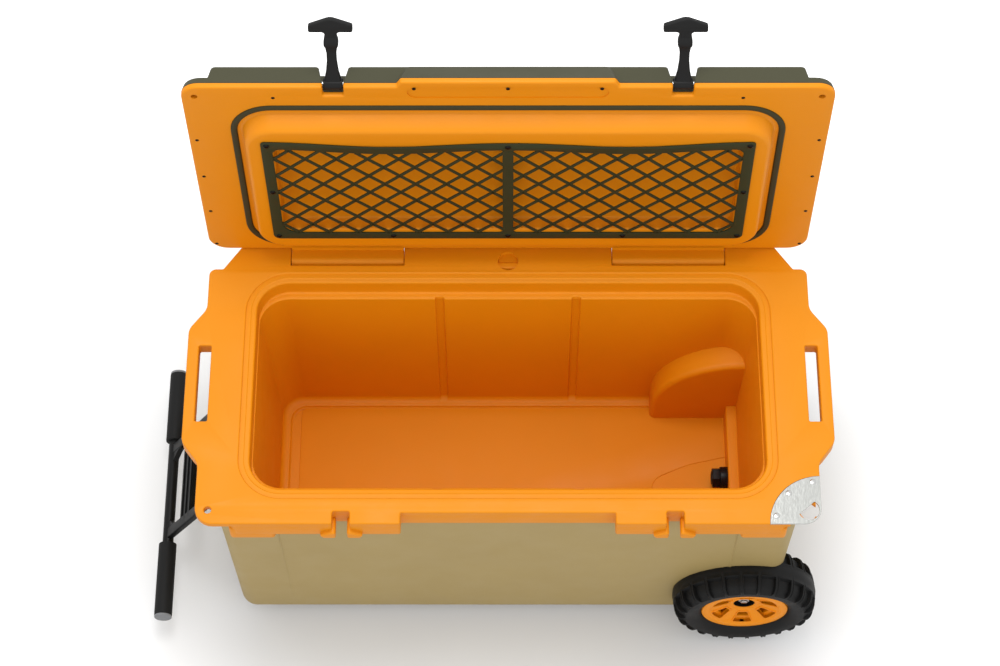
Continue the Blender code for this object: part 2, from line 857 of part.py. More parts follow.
def make_liner_and_rim():
    """Orange tub and rim moulding, shared among nodes that meet at flat faces."""
    moulding = make_moulding()
    half = opening_half_length + 2 * liner_wall
    front, back = opening_front - 2 * liner_wall, opening_back + 2 * liner_wall
    middle = (opening_front + opening_back) / 2
    gap = seat_gap / 2
    left, right = -liner_seam_left, liner_seam_right
    near = arch_inner_y + bump_seam_depth
    far = 2 * wheel_mid_y - near
    floor, step = cavity_floor + floor_seam_rise, cavity_floor + step_seam_rise
    top = plate_bottom - gap
    for name, corner, far_corner in (
            ("liner_floor", (-half, front, shell_bottom), (half, back, floor - gap)),
            ("liner_left_wall", (-half, front, floor + gap), (left - gap, back, top)),
            ("liner_front_wall", (left + gap, front, floor + gap), (right - gap, middle, top)),
            ("liner_back_wall", (left + gap, middle, floor + gap), (right - gap, back, top)),
            ("liner_front_bump", (right + gap, front, floor + gap), (half, near - gap, top)),
            ("liner_rear_bump", (right + gap, far + gap, floor + gap), (half, back, top)),
            ("liner_step", (right + gap, near + gap, floor + gap), (half, far - gap, step - gap)),
            ("liner_right_wall", (right + gap, near + gap, step + gap), (half, far - gap, top))):
        wall = add_part(name, solids_mesh(name, [block(corner, far_corner)]), root, orange_plastic)
        combine(wall, moulding, "INTERSECT")
    above_tub = block((-half, front, shell_bottom), (half, back, plate_bottom + gap))
    tub_space = add_cutter("tub_space", solids_mesh("tub_space", [above_tub]), root)
    end, reach = skirt_step_half_length, carry_half_length + overrun
    low, high = skirt_bottom - skirt_end_drop, rim_top + overrun
    behind = hinge_y + barrel_radius + overrun
    for name, corner, far_corner in (
            ("rim_front", (-end + gap, -overrun, low), (end - gap, middle, high)),
            ("rim_back", (-end + gap, middle, low), (end - gap, behind, high)),
            ("rim_left", (-reach, -overrun, low), (-end - gap, behind, high)),
            ("rim_right", (end + gap, -overrun, low), (reach, behind, high))):
        rim = add_part(name, solids_mesh(name, [block(corner, far_corner)]), root, orange_plastic)
        combine(rim, moulding, "INTERSECT")
        cut(rim, tub_space)


def opener_screw_places():
    """Three screws along the opener's inner arc."""
    radius = opener_radius - opener_screw_inset
    turns = [radians(degrees) for degrees in opener_screw_angles]
    return [(rim_half_length + radius * cos(turn), radius * sin(turn)) for turn in turns]


def opener_screw_solids(low, plate_low, top, shank, head):
    """Makers of each opener screw's shank and of its countersunk head."""
    middle = (plate_low + top) / 2
    return [(rod((x, y, low), (x, y, middle), shank, small_round_steps),
             rod((x, y, plate_low), (x, y, top), shank, small_round_steps, head))
            for x, y in opener_screw_places()]


def make_opener():
    """Steel bottle opener let into the rim corner, with its three screws."""
    low = rim_top - opener_thickness
    plate = add_part("opener_plate", prism_mesh("opener_plate", opener_outline(opener_radius, 0),
                                                low, rim_top), root, bare_steel)
    middle = Vector((padlock_x, padlock_y))
    toward = (middle - Vector((rim_half_length, 0.0))).normalized()
    turn = acos(opener_hole_chord / opener_hole_radius)
    heading = atan2(toward.y, toward.x)
    sweep = [heading + turn + (2 * pi - 2 * turn) * step / round_steps
             for step in range(round_steps + 1)]
    hole = [(middle.x + opener_hole_radius * cos(angle), middle.y + opener_hole_radius * sin(angle))
            for angle in sweep]
    cut(plate, add_cutter("opener_hole", prism_mesh("opener_hole", hole, low - overrun,
                                                    rim_top + overrun), root))
    sinks = [head for shank, head in opener_screw_solids(
        low - overrun, low - seat_gap, rim_top + seat_gap, opener_screw_shank + 3 * seat_gap,
        opener_screw_radius + 3 * seat_gap)]
    cut(plate, add_cutter("opener_countersinks", solids_mesh("opener_countersinks", sinks), root))
    for index, (shank, head) in enumerate(opener_screw_solids(
            low - opener_screw_length, low, rim_top, opener_screw_shank, opener_screw_radius)):
        name = "opener_screw_" + str(index + 1)
        screw = add_part(name, solids_mesh(name, [shank]), root, bare_steel)
        join(screw, add_cutter(name + "_head", solids_mesh(name, [head]), root))


def make_hinge_pin():
    """Steel rod through all the hinge knuckles."""
    reach = hinge_half_length - running_gap
    add_part("hinge_pin", solids_mesh("hinge_pin", [rod(
        (-reach, hinge_y, hinge_z), (reach, hinge_y, hinge_z), hinge_pin_radius)]),
        root, dark_steel)


def lid_outline(inset=0.0):
    """Plan outline of the closed lid, moved in by an inset."""
    lip = lid_front - lid_lip + inset
    front = lid_front + inset
    return mirrored_outline([
        (lid_lip_half_length - inset, lip, 0.0),
        (lid_lip_half_length - inset, front, 0.0),
        (lid_half_length - inset, front, lid_front_radius - inset),
        (lid_half_length - inset, lid_back - inset, lid_back_radius - inset)])


def lid_reliefs(name, grow, low):
    """Corner steps and latch notches of the lid, grown by a wall."""
    makers = []
    for side in (-1, 1):
        start, end = sorted((side * (lid_half_length - lid_pad_length - grow),
                             side * (lid_half_length + overrun)))
        makers.append(block((start, lid_front - overrun, rim_height + lid_pad_height - grow),
                            (end, lid_front + lid_pad_depth + grow, lid_top + overrun)))
        middle = side * latch_offset
        half_width = lid_notch_width / 2 + grow
        makers.append(block((middle - half_width, lid_front - overrun, low),
                            (middle + half_width, lid_front + lid_notch_depth + grow,
                             lid_top + overrun)))
    return [add_cutter(name + "_" + str(index), solids_mesh(name, [maker]), lid_frame)
            for index, maker in enumerate(makers)]


def lid_padlock_cutter(name):
    """Padlock holes through the lid's front corners."""
    makers = [rod((side * padlock_x, padlock_y, rim_height - overrun),
                  (side * padlock_x, padlock_y, lid_top + overrun), padlock_radius)
              for side in (-1, 1)]
    return add_cutter(name, solids_mesh(name, makers), lid_frame)


def latch_pin_cutter(name):
    """Cross bores in the lid that hold the latch pins."""
    reach = lid_notch_width / 2 + latch_pin_overlap + running_gap
    makers = [rod((side * latch_offset - reach, latch_pin_y, rim_height + latch_pin_rise),
                  (side * latch_offset + reach, latch_pin_y, rim_height + latch_pin_rise),
                  latch_pin_radius + seat_gap, small_round_steps * 2) for side in (-1, 1)]
    return add_cutter(name, solids_mesh(name, makers), lid_frame)


def make_lid_shell():
    """Olive outer skin of the lid with corner steps and latch notches."""
    low = flange_top + seat_gap
    levels = [(low, lid_outline()),
              (lid_top - lid_top_radius, lid_outline(lid_taper)),
              (lid_top - lid_top_radius * (1 - sin(pi / 4)),
               lid_outline(lid_taper + lid_top_radius * (1 - cos(pi / 4)))),
              (lid_top, lid_outline(lid_taper + lid_top_radius))]
    shell = add_part("lid_shell", loft_mesh("lid_shell", levels), lid_frame, olive_plastic)
    core = add_cutter("lid_core", loft_mesh("lid_core", [
        (low - overrun, lid_outline(lid_wall)), (low, lid_outline(lid_wall)),
        (lid_top - lid_top_radius, lid_outline(lid_taper + lid_wall)),
        (lid_top - lid_wall, lid_outline(lid_taper + lid_top_radius + lid_wall / 2))]),
        lid_frame)
    cut(core, *lid_reliefs("lid_core_relief", lid_wall, low - 2 * overrun))
    for index, side in enumerate((-1, 1)):
        boss = rod((side * padlock_x, padlock_y, low - 2 * overrun),
                   (side * padlock_x, padlock_y, lid_top), padlock_radius + lid_wall)
        cut(core, add_cutter("padlock_boss_" + str(index),
                             solids_mesh("padlock_boss", [boss]), lid_frame))
    cut(shell, core, *lid_reliefs("lid_shell_relief", 0.0, low - overrun),
        lid_padlock_cutter("lid_shell_padlock"), latch_pin_cutter("lid_shell_pins"))
    return shell


def make_lid_foam():
    """Insulation inside the lid."""
    inset = lid_wall + seat_gap
    low = flange_top + seat_gap
    foam = add_part("lid_foam", loft_mesh("lid_foam", [
        (low, lid_outline(inset)),
        (lid_top - lid_top_radius, lid_outline(lid_taper + inset)),
        (lid_top - inset, lid_outline(lid_taper + lid_top_radius + lid_wall / 2 + seat_gap))]),
        lid_frame, foam_white)
    cut(foam, *lid_reliefs("lid_foam_relief", inset, low - overrun))
    for index, side in enumerate((-1, 1)):
        boss = rod((side * padlock_x, padlock_y, low - overrun),
                   (side * padlock_x, padlock_y, lid_top), padlock_radius + inset)
        cut(foam, add_cutter("foam_boss_" + str(index), solids_mesh("foam_boss", [boss]), lid_frame))
        pin = rod((side * latch_offset - lid_notch_width, latch_pin_y, rim_height + latch_pin_rise),
                  (side * latch_offset + lid_notch_width, latch_pin_y, rim_height + latch_pin_rise),
                  latch_pin_radius + seat_gap, small_round_steps)
        cut(foam, add_cutter("foam_pin_" + str(index), solids_mesh("foam_pin", [pin]), lid_frame))
    return foam


def gasket_outline(offset):
    """Rounded loop around the plug, moved outward by an offset."""
    gap = gasket_inset - offset
    return box_outline(-opening_half_length - gap, opening_half_length + gap,
                       opening_front - gap, opening_back + gap, opening_radius + gap)


def make_lid_liner():
    """Orange underside of the lid: flange, plug with its net pocket, and hinge knuckles."""
    liner = add_part("lid_liner", prism_mesh("lid_liner", lid_outline(), lid_under, flange_top),
                     lid_frame, orange_plastic)
    plug = add_cutter("plug", loft_mesh("plug", [
        (plug_face, box_outline(-plug_half_length + plug_end_draft,
                                plug_half_length - plug_end_draft,
                                plug_front + plug_front_draft, plug_back - plug_back_draft,
                                plug_radius - plug_end_draft)),
        (flange_top - lid_flange / 2, box_outline(-plug_half_length, plug_half_length,
                                                  plug_front, plug_back, plug_radius))]),
        lid_frame)
    join(liner, plug)
    for side, (start, end) in (("left", (-lid_knuckle_end, -lid_knuckle_start)),
                               ("right", (lid_knuckle_start, lid_knuckle_end))):
        low, high = start + running_gap, end - running_gap
        barrel = hinge_barrels("lid_knuckle_" + side, ((low, high),), lid_frame)
        arm = block((low, lid_back - lid_wall, lid_under),
                    (high, hinge_y + barrel_radius, flange_top))
        web = block((low, hinge_y, hinge_z), (high, hinge_y + barrel_radius, flange_top))
        join(liner, *barrel,
             add_cutter("knuckle_arm_" + side, solids_mesh("knuckle_arm", [arm]), lid_frame),
             add_cutter("knuckle_web_" + side, solids_mesh("knuckle_web", [web]), lid_frame))
    pocket = prism_mesh("pocket", box_outline(-pocket_half_length, pocket_half_length,
                                              pocket_front, pocket_back, pocket_radius),
                        plug_face - overrun, plug_face + pocket_depth)
    bore = rod((-hinge_half_length, hinge_y, hinge_z), (hinge_half_length, hinge_y, hinge_z),
               hinge_pin_radius + seat_gap)
    groove = plate_mesh("gasket_channel", [gasket_outline(-gasket_width - seat_gap),
                                           gasket_outline(seat_gap)],
                        lid_under - overrun, lid_under + gasket_groove)
    holes = [rod((x, y, plug_face - overrun), (x, y, plug_face + net_screw_length + seat_gap),
                 net_screw_radius + seat_gap, small_round_steps) for x, y in net_screw_places()]
    cut(liner, add_cutter("pocket", pocket, lid_frame),
        add_cutter("lid_pin_bore", solids_mesh("lid_pin_bore", [bore]), lid_frame),
        add_cutter("gasket_channel", groove, lid_frame),
        add_cutter("net_screw_holes", solids_mesh("net_screw_holes", holes), lid_frame),
        *lid_reliefs("lid_liner_relief", 0.0, lid_under - overrun),
        lid_padlock_cutter("lid_liner_padlock"), latch_pin_cutter("lid_liner_pins"))
    return liner


def make_gasket():
    """Rubber seal in the groove around the plug."""
    low = lid_under + gasket_groove - seat_gap - gasket_height
    add_part("lid_gasket", plate_mesh("lid_gasket", [
        gasket_outline(-gasket_width), gasket_outline(0.0)],
        low, low + gasket_height), lid_frame, dark_olive_rubber)


def net_front_edge(x):
    """Wavy front edge of the cargo net at a distance from its middle."""
    share = abs(x) / net_half_length
    return net_front + net_wave * sin(pi * share) ** 2 + net_corner_fall * share


def clip_outline(outline, height_of):
    """Part of a convex outline where a height function is not negative."""
    kept = []
    for index, point in enumerate(outline):
        before = outline[index - 1]
        low, high = height_of(*before), height_of(*point)
        if (low < 0) != (high < 0):
            share = low / (low - high)
            kept.append(tuple(a + (b - a) * share for a, b in zip(before, point)))
        if high >= 0:
            kept.append(point)
    return kept


def outline_area(outline):
    """Area inside a closed outline."""
    doubled = sum(x * outline[index - 1][1] - outline[index - 1][0] * y
                  for index, (x, y) in enumerate(outline))
    return abs(doubled) / 2


def net_holes():
    """Diamond openings of the net, clipped to the frame and its centre bar."""
    half_x = net_pitch_x / 2 - net_strand / sqrt(2)
    half_y = net_pitch_y / 2 - net_strand / sqrt(2)
    columns = int(net_half_length / net_pitch_x) + 1
    rows = int(2 * (net_back - net_front) / net_pitch_y) + 2
    edges = (lambda x, y: net_half_length - net_border - abs(x),
             lambda x, y: y - net_front_edge(x) - net_border,
             lambda x, y: net_back - net_border - y)
    holes = []
    for row in range(rows):
        y = net_front + row * net_pitch_y / 2
        for column in range(-columns, columns + 1):
            x = (column + (row % 2) / 2) * net_pitch_x
            hole = [(x - half_x, y), (x, y - half_y), (x + half_x, y), (x, y + half_y)]
            for side in (-1, 1):
                piece = clip_outline(hole, lambda px, py: side * px - net_bar_width / 2)
                for height_of in edges:
                    piece = clip_outline(piece, height_of) if piece else piece
                if len(piece) > 2 and outline_area(piece) > net_least_hole ** 2:
                    holes.append(piece)
    return holes


def net_screw_places():
    """Ten screws along the frame of the net."""
    reach = net_half_length - net_border / 2
    front = net_front_edge(reach) + net_border / 2
    back = net_back - net_border / 2
    corners = [(side * reach, y) for side in (-1, 1) for y in (front, (front + back) / 2, back)]
    middles = [(0.0, net_front + net_border / 2), (0.0, back)]
    return corners + middles + [(side * reach / 2, back) for side in (-1, 1)]


def make_cargo_net():
    """Moulded elastic net: a wavy frame filled with a diamond lattice."""
    high = plug_face - seat_gap
    low = high - net_thickness
    wave = [net_half_length * (1 - 2 * step / round_steps) for step in range(round_steps + 1)]
    front = [(x, net_front_edge(x)) for x in reversed(wave)]
    rear = rounded_outline([(net_half_length, net_back, net_radius),
                            (-net_half_length, net_back, net_radius),
                            (-net_half_length, net_front, 0.0), (net_half_length, net_front, 0.0)])
    outline = front + rear[:-2]
    screws = [circle_outline(x, y, net_screw_hole_radius) for x, y in net_screw_places()]
    add_part("cargo_net", plate_mesh("cargo_net", [outline] + net_holes() + screws, low, high),
             lid_frame, dark_olive_rubber)
    for index, (x, y) in enumerate(net_screw_places()):
        name = "net_screw_" + str(index + 1)
        shank_top = plug_face + net_screw_length
        under = low - seat_gap
        profile = [(0.0, shank_top), (net_screw_radius, shank_top), (net_screw_radius, under),
                   (net_screw_head_radius, under), (net_screw_head_radius, under - net_screw_head),
                   (0.0, under - net_screw_head)]
        screw = turned_object(name, profile, small_round_steps, lid_frame, dark_steel)
        screw.location = (x, y, 0.0)


def latch_outline():
    """Front view of the strap and its T grip, hanging from the pin."""
    strap = latch_strap_width / 2
    neck = latch_neck_width / 2
    under = latch_length - latch_t_height
    half = [(strap, 0.0), (strap, -latch_bulge_start), (neck, -latch_bulge_end),
            (neck, -under - latch_t_height * latch_neck_share)]
    half += [(latch_t_width / 2 * across, -under - latch_t_height * down)
             for across, down in latch_t_shares]
    return half + [(-x, z) for x, z in reversed(half)]


def make_latch(side, name):
    """Rubber T latch on its steel pin, thrown open."""
    pivot = add_empty("latch_" + name + "_pivot", lid_frame,
                      (side * latch_offset, latch_pin_y, rim_height + latch_pin_rise),
                      (-pi / 2 - radians(latch_back_angle), 0.0, 0.0))
    half = latch_strap_thickness / 2
    latch = add_part("latch_" + name, solids_mesh("latch_" + name, [side_prism(
        latch_outline(), -half, half)]), pivot, black_rubber)
    barrel = rod((-latch_barrel_length / 2, 0.0, 0.0), (latch_barrel_length / 2, 0.0, 0.0),
                 latch_barrel_radius)
    bulge = loft_mesh("latch_bulge", [
        (-latch_bulge_end, box_outline(-latch_bulge_width / 2, latch_bulge_width / 2,
                                       -half - seat_gap, half + seat_gap, half / 2, 2)),
        (-latch_bulge_end + latch_strap_thickness / 2,
         box_outline(-latch_bulge_width / 2, latch_bulge_width / 2,
                     -latch_bulge_thickness / 2, latch_bulge_thickness / 2, half / 2, 2)),
        (-latch_bulge_start, box_outline(-latch_bulge_width / 2, latch_bulge_width / 2,
                                         -latch_bulge_thickness / 2, latch_bulge_thickness / 2,
                                         half / 2, 2))])
    pad_low, pad_high = [-latch_length + latch_t_height * share for share in latch_pad_shares]
    pad = block((-latch_pad_half_length, -latch_t_thickness / 2, pad_low),
                (latch_pad_half_length, latch_t_thickness / 2, pad_high))
    join(latch, add_cutter("latch_barrel_" + name, solids_mesh("latch_barrel", [barrel]), pivot),
         add_cutter("latch_bulge_" + name, bulge, pivot),
         add_cutter("latch_pad_" + name, solids_mesh("latch_pad", [pad]), pivot))
    bore = rod((-latch_barrel_length, 0.0, 0.0), (latch_barrel_length, 0.0, 0.0),
               latch_bore_radius)
    cut(latch, add_cutter("latch_bore_" + name, solids_mesh("latch_bore", [bore]), pivot))
    reach = lid_notch_width / 2 + latch_pin_overlap
    pin_y, pin_z = latch_pin_y, rim_height + latch_pin_rise
    add_part("latch_pin_" + name, solids_mesh("latch_pin", [rod(
        (side * latch_offset - reach, pin_y, pin_z), (side * latch_offset + reach, pin_y, pin_z),
        latch_pin_radius)]), lid_frame, bare_steel)


def arm_path():
    """Centre line of a tow arm in X and Z, from its pivot down to the bar."""
    knots = [(0.0, 0.0), (tow_pivot_x - tow_knee_x, tow_knee_z - tow_pivot_z),
             (tow_pivot_x - tow_elbow_x, tow_elbow_z - tow_pivot_z),
             (tow_pivot_x - tow_bar_x, tow_bar_z - tow_pivot_z)]
    knots = [Vector(knot) for knot in knots]
    padded = [knots[0] * 2 - knots[1]] + knots + [knots[-1] * 2 - knots[-2]]
    path = []
    for a, b, c, d in zip(padded, padded[1:], padded[2:], padded[3:]):
        for step in range(corner_steps):
            t = step / corner_steps
            path.append((b * 2 + (c - a) * t + (a * 2 - b * 5 + c * 4 - d) * t ** 2
                         + (b * 3 - a - c * 3 + d) * t ** 3) / 2)
    return path + [knots[-1]]


def strip_outline(path, thickness):
    """Outline of a strip of even thickness along a path."""
    near, far = [], []
    for index, point in enumerate(path):
        along = path[min(index + 1, len(path) - 1)] - path[max(index - 1, 0)]
        across = Vector((-along.y, along.x)).normalized() * thickness / 2
        near.append(tuple(point + across))
        far.append(tuple(point - across))
    return near + list(reversed(far))


def make_tow_handle():
    """Black yoke with two bent arms, a ribbed web and a bar carrying two grips."""
    pivot = add_empty("tow_pivot", root, (-tow_pivot_x, tow_centre_y, tow_pivot_z))
    bar_x, bar_z = tow_pivot_x - tow_bar_x, tow_bar_z - tow_pivot_z
    reach = tow_half_length - grip_cap_length - seat_gap
    yoke = add_part("tow_yoke", solids_mesh("tow_yoke", [rod(
        (bar_x, -reach, bar_z), (bar_x, reach, bar_z), tow_bar_radius)]), pivot, black_plastic)
    path = arm_path()
    for side, name in ((-1, "front"), (1, "rear")):
        middle = side * tow_arm_centre
        low, high = middle - tow_arm_width / 2, middle + tow_arm_width / 2
        arm = side_prism(strip_outline(path, tow_arm_thickness), low, high)
        eye = rod((0.0, low, 0.0), (0.0, high, 0.0), tow_eye_radius)
        join(yoke, add_cutter("tow_arm_" + name, solids_mesh("tow_arm", [arm]), pivot),
             add_cutter("tow_eye_" + name, solids_mesh("tow_eye", [eye]), pivot))
    up = (path[-corner_steps] - path[-1]).normalized()
    out = Vector((-up.y, up.x))
    start = path[-1] + up * tow_web_start
    half = tow_web_thickness / 2
    profile = [(0.0, -half), (tow_web_width, -half), (tow_web_width, half)]
    ribs = int(tow_web_width / (2 * tow_rib_width))
    for index in range(ribs):
        right = tow_web_width - tow_rib_width / 2 - 2 * index * tow_rib_width
        left = right - tow_rib_width
        profile += [(right, half), (right, half + tow_rib_height),
                    (left, half + tow_rib_height), (left, half)]
    profile.append((0.0, half))
    web = [tuple(start + up * along + out * across) for along, across in profile]
    join(yoke, add_cutter("tow_web", solids_mesh("tow_web", [side_prism(
        web, -tow_arm_centre, tow_arm_centre)]), pivot))
    bore = rod((0.0, -tow_half_length, 0.0), (0.0, tow_half_length, 0.0), tow_pin_bore_radius)
    cut(yoke, add_cutter("tow_bore", solids_mesh("tow_bore", [bore]), pivot))
    make_grips(pivot, bar_x, bar_z)


def make_grips(pivot, bar_x, bar_z):
    """Two round grips on the bar and the caps at their ends."""
    outer = tow_half_length - grip_cap_length
    for side, name in ((-1, "front"), (1, "rear")):
        grip = add_part("grip_" + name, solids_mesh("grip", [rod(
            (bar_x, side * outer, bar_z), (bar_x, side * (outer - grip_length), bar_z),
            grip_radius)]), pivot, black_rubber)
        bore = rod((bar_x, side * (outer + overrun), bar_z),
                   (bar_x, side * (outer - grip_length - overrun), bar_z),
                   tow_bar_radius + seat_gap)
        cut(grip, add_cutter("grip_bore_" + name, solids_mesh("grip_bore", [bore]), pivot))
        add_part("grip_cap_" + name, solids_mesh("grip_cap", [rod(
            (bar_x, side * (outer + seat_gap), bar_z), (bar_x, side * tow_half_length, bar_z),
            grip_radius)]), pivot, grey_plastic)


def make_tow_bracket():
    """Bracket on the end wall with an ear either side of each tow arm."""
    levels = []
    for height in (tow_pivot_z - bracket_below, tow_pivot_z + bracket_above):
        fall = (rim_height - height) / (rim_height - shell_bottom)
        wall = -(shell_half_length - shell_draft_x * fall + seat_gap)
        levels.append((height, box_outline(wall - bracket_plate, wall,
                                           tow_centre_y - bracket_half_width,
                                           tow_centre_y + bracket_half_width)))
    bracket = add_part("tow_bracket", loft_mesh("tow_bracket", levels), root, black_plastic)
    root_x = -(shell_half_length + bracket_plate / 2)
    ear = [(root_x, tow_pivot_z + tow_eye_radius), (root_x, tow_pivot_z - tow_eye_radius)]
    ear += [(-tow_pivot_x - tow_eye_radius * sin(pi * step / (2 * corner_steps)),
             tow_pivot_z - tow_eye_radius * cos(pi * step / (2 * corner_steps)))
            for step in range(2 * corner_steps + 1)]
    inner_gap = tow_arm_width / 2 + running_gap
    for side, name in ((-1, "front"), (1, "rear")):
        middle = tow_centre_y + side * tow_arm_centre
        for hand in (-1, 1):
            edges = sorted((middle + hand * inner_gap, middle + hand * (inner_gap + bracket_ear)))
            title = "bracket_ear_" + name + str(hand + 1)
            join(bracket, add_cutter(title, solids_mesh(title, [side_prism(ear, *edges)]), root))
        below = tow_pivot_z - bracket_stop_drop
        arm_share = bracket_stop_share * bracket_stop_drop / (tow_pivot_z - tow_knee_z)
        arm_x = tow_pivot_x + (tow_knee_x - tow_pivot_x) * arm_share
        stop = block((-(arm_x - tow_arm_thickness / 2 - running_gap),
                      middle - tow_arm_width / 2, below - bracket_stop_height / 2),
                     (root_x, middle + tow_arm_width / 2, below + bracket_stop_height / 2))
        join(bracket, add_cutter("bracket_stop_" + name, solids_mesh("bracket_stop", [stop]), root))
        reach = inner_gap + bracket_ear
        add_part("tow_pin_" + name, solids_mesh("tow_pin", [rod(
            (-tow_pivot_x, middle - reach, tow_pivot_z),
            (-tow_pivot_x, middle + reach, tow_pivot_z), tow_pin_radius)]), root, bare_steel)
    bore = rod((-tow_pivot_x, 0.0, tow_pivot_z), (-tow_pivot_x, skirt_back, tow_pivot_z),
               tow_pin_radius + seat_gap)
    cut(bracket, add_cutter("bracket_bore", solids_mesh("bracket_bore", [bore]), root))


def tyre_profile():
    """Section of the tyre from its outer bead round the tread to the inner bead."""
    half = tyre_width / 2
    band = tyre_band_half_width
    side = [(tyre_bore_radius, half), (tyre_bead_radius, half),
            (tyre_shoulder_radius, half - tyre_crown),
            (tyre_radius - 2 * tyre_crown, half - tyre_lug_depth),
            (tyre_radius, band)]
    return side + [(radius, -height) for radius, height in reversed(side)]


def lug_cutter(name, parent):
    """Pockets between the lugs along both shoulders of a tyre."""
    pitch = 2 * pi / tyre_lugs
    width = tyre_lug_share * pitch * tyre_radius
    floor = tyre_radius - tyre_lug_depth
    inner = tyre_band_half_width + tyre_crown
    outer = tyre_width / 2 + overrun

    def maker(shape):
        for index in range(tyre_lugs):
            for side in (-1, 1):
                turn = Matrix.Rotation((index + 0.5) * pitch, 4, "Z")
                place = Matrix.Translation((floor + overrun / 2, 0.0, side * (inner + outer) / 2))
                size = Matrix.Diagonal((overrun, width, outer - inner, 1.0))
                bmesh.ops.create_cube(shape, size=1.0, matrix=turn @ place @ size)
    return add_cutter(name, solids_mesh(name, [maker]), parent)


def hub_profile():
    """Section of the dished hub, from its socket out over the face and back."""
    face = tyre_width / 2 - running_gap
    centre = face - hub_centre_depth
    dish = face - hub_dish_depth
    socket = centre - hub_socket_depth
    tail = -(tyre_width / 2 + arch_side_gap - running_gap)
    return [(hub_socket_radius, centre), (hub_centre_radius, centre), (hub_dish_radius, dish),
            (hub_lip_radius, face), (hub_radius, face), (hub_radius, -face),
            (hub_lip_radius, -face), (hub_dish_radius, dish - hub_web),
            (hub_centre_radius, centre - hub_web), (hub_centre_radius, tail),
            (hub_bore_radius, tail), (hub_bore_radius, socket), (hub_socket_radius, socket)]


def window_cutter(name, parent):
    """Wedge windows between the hub's spokes."""
    half = radians(hub_window_angle) / 2
    makers = []
    for index in range(hub_windows):
        middle = 2 * pi * (index + 0.5) / hub_windows
        turns = [middle + half * (2 * step / corner_steps - 1) for step in range(corner_steps + 1)]
        outline = [(hub_window_outer * cos(turn), hub_window_outer * sin(turn)) for turn in turns]
        outline += [(hub_window_inner * cos(turn), hub_window_inner * sin(turn))
                    for turn in reversed(turns)]
        makers.append(outline)
    levels = [prism_mesh(name, outline, -tyre_width, tyre_width) for outline in makers]
    shape = bmesh.new()
    for level in levels:
        shape.from_mesh(level)
    mesh = bpy.data.meshes.new(name)
    shape.to_mesh(mesh)
    shape.free()
    return add_cutter(name, mesh, parent)


def make_wheel(name, y, turn):
    """Tyre and hub turning on a stub axle bolt with its washer."""
    spin = add_empty("wheel_" + name + "_axis", root, (wheel_x, y, wheel_z), (turn, 0.0, 0.0))
    tyre = turned_object("tyre_" + name, tyre_profile(), wheel_steps, spin, tyre_rubber)
    cut(tyre, lug_cutter("lug_gaps_" + name, spin))
    hub = turned_object("hub_" + name, hub_profile(), wheel_steps, spin, orange_plastic)
    cut(hub, window_cutter("hub_windows_" + name, spin))
    fixed = add_empty("axle_" + name + "_seat", root, (wheel_x, y, wheel_z), (turn, 0.0, 0.0))
    seat = tyre_width / 2 - running_gap - hub_centre_depth - hub_socket_depth + seat_gap
    under_head = seat + washer_thickness + seat_gap
    tip = -(tyre_width / 2 + arch_side_gap + axle_insert)
    bolt = add_part("axle_bolt_" + name, solids_mesh("axle_bolt", [rod(
        (0.0, 0.0, tip), (0.0, 0.0, under_head + axle_head / 2), axle_radius)]),
        fixed, bare_steel)
    head = rod((0.0, 0.0, under_head), (0.0, 0.0, under_head + axle_head), axle_head_radius, 6)
    join(bolt, add_cutter("axle_head_" + name, solids_mesh("axle_head", [head]), fixed))
    turned_object("axle_washer_" + name, [
        (axle_radius + seat_gap, seat + washer_thickness),
        (washer_radius, seat + washer_thickness), (washer_radius, seat),
        (axle_radius + seat_gap, seat)], round_steps, fixed, bare_steel)


def make_feet():
    """Rubber feet that level the end without wheels."""
    top = shell_bottom - seat_gap
    front = shell_front + shell_draft_y + foot_inset_y
    back = shell_back - shell_draft_y - foot_inset_y
    for name, y in (("front", front), ("rear", back)):
        add_part("foot_" + name, solids_mesh("foot", [rod(
            (-foot_x, y, 0.0), (-foot_x, y, top), foot_radius - foot_taper, round_steps,
            foot_radius)]), root, black_rubber)


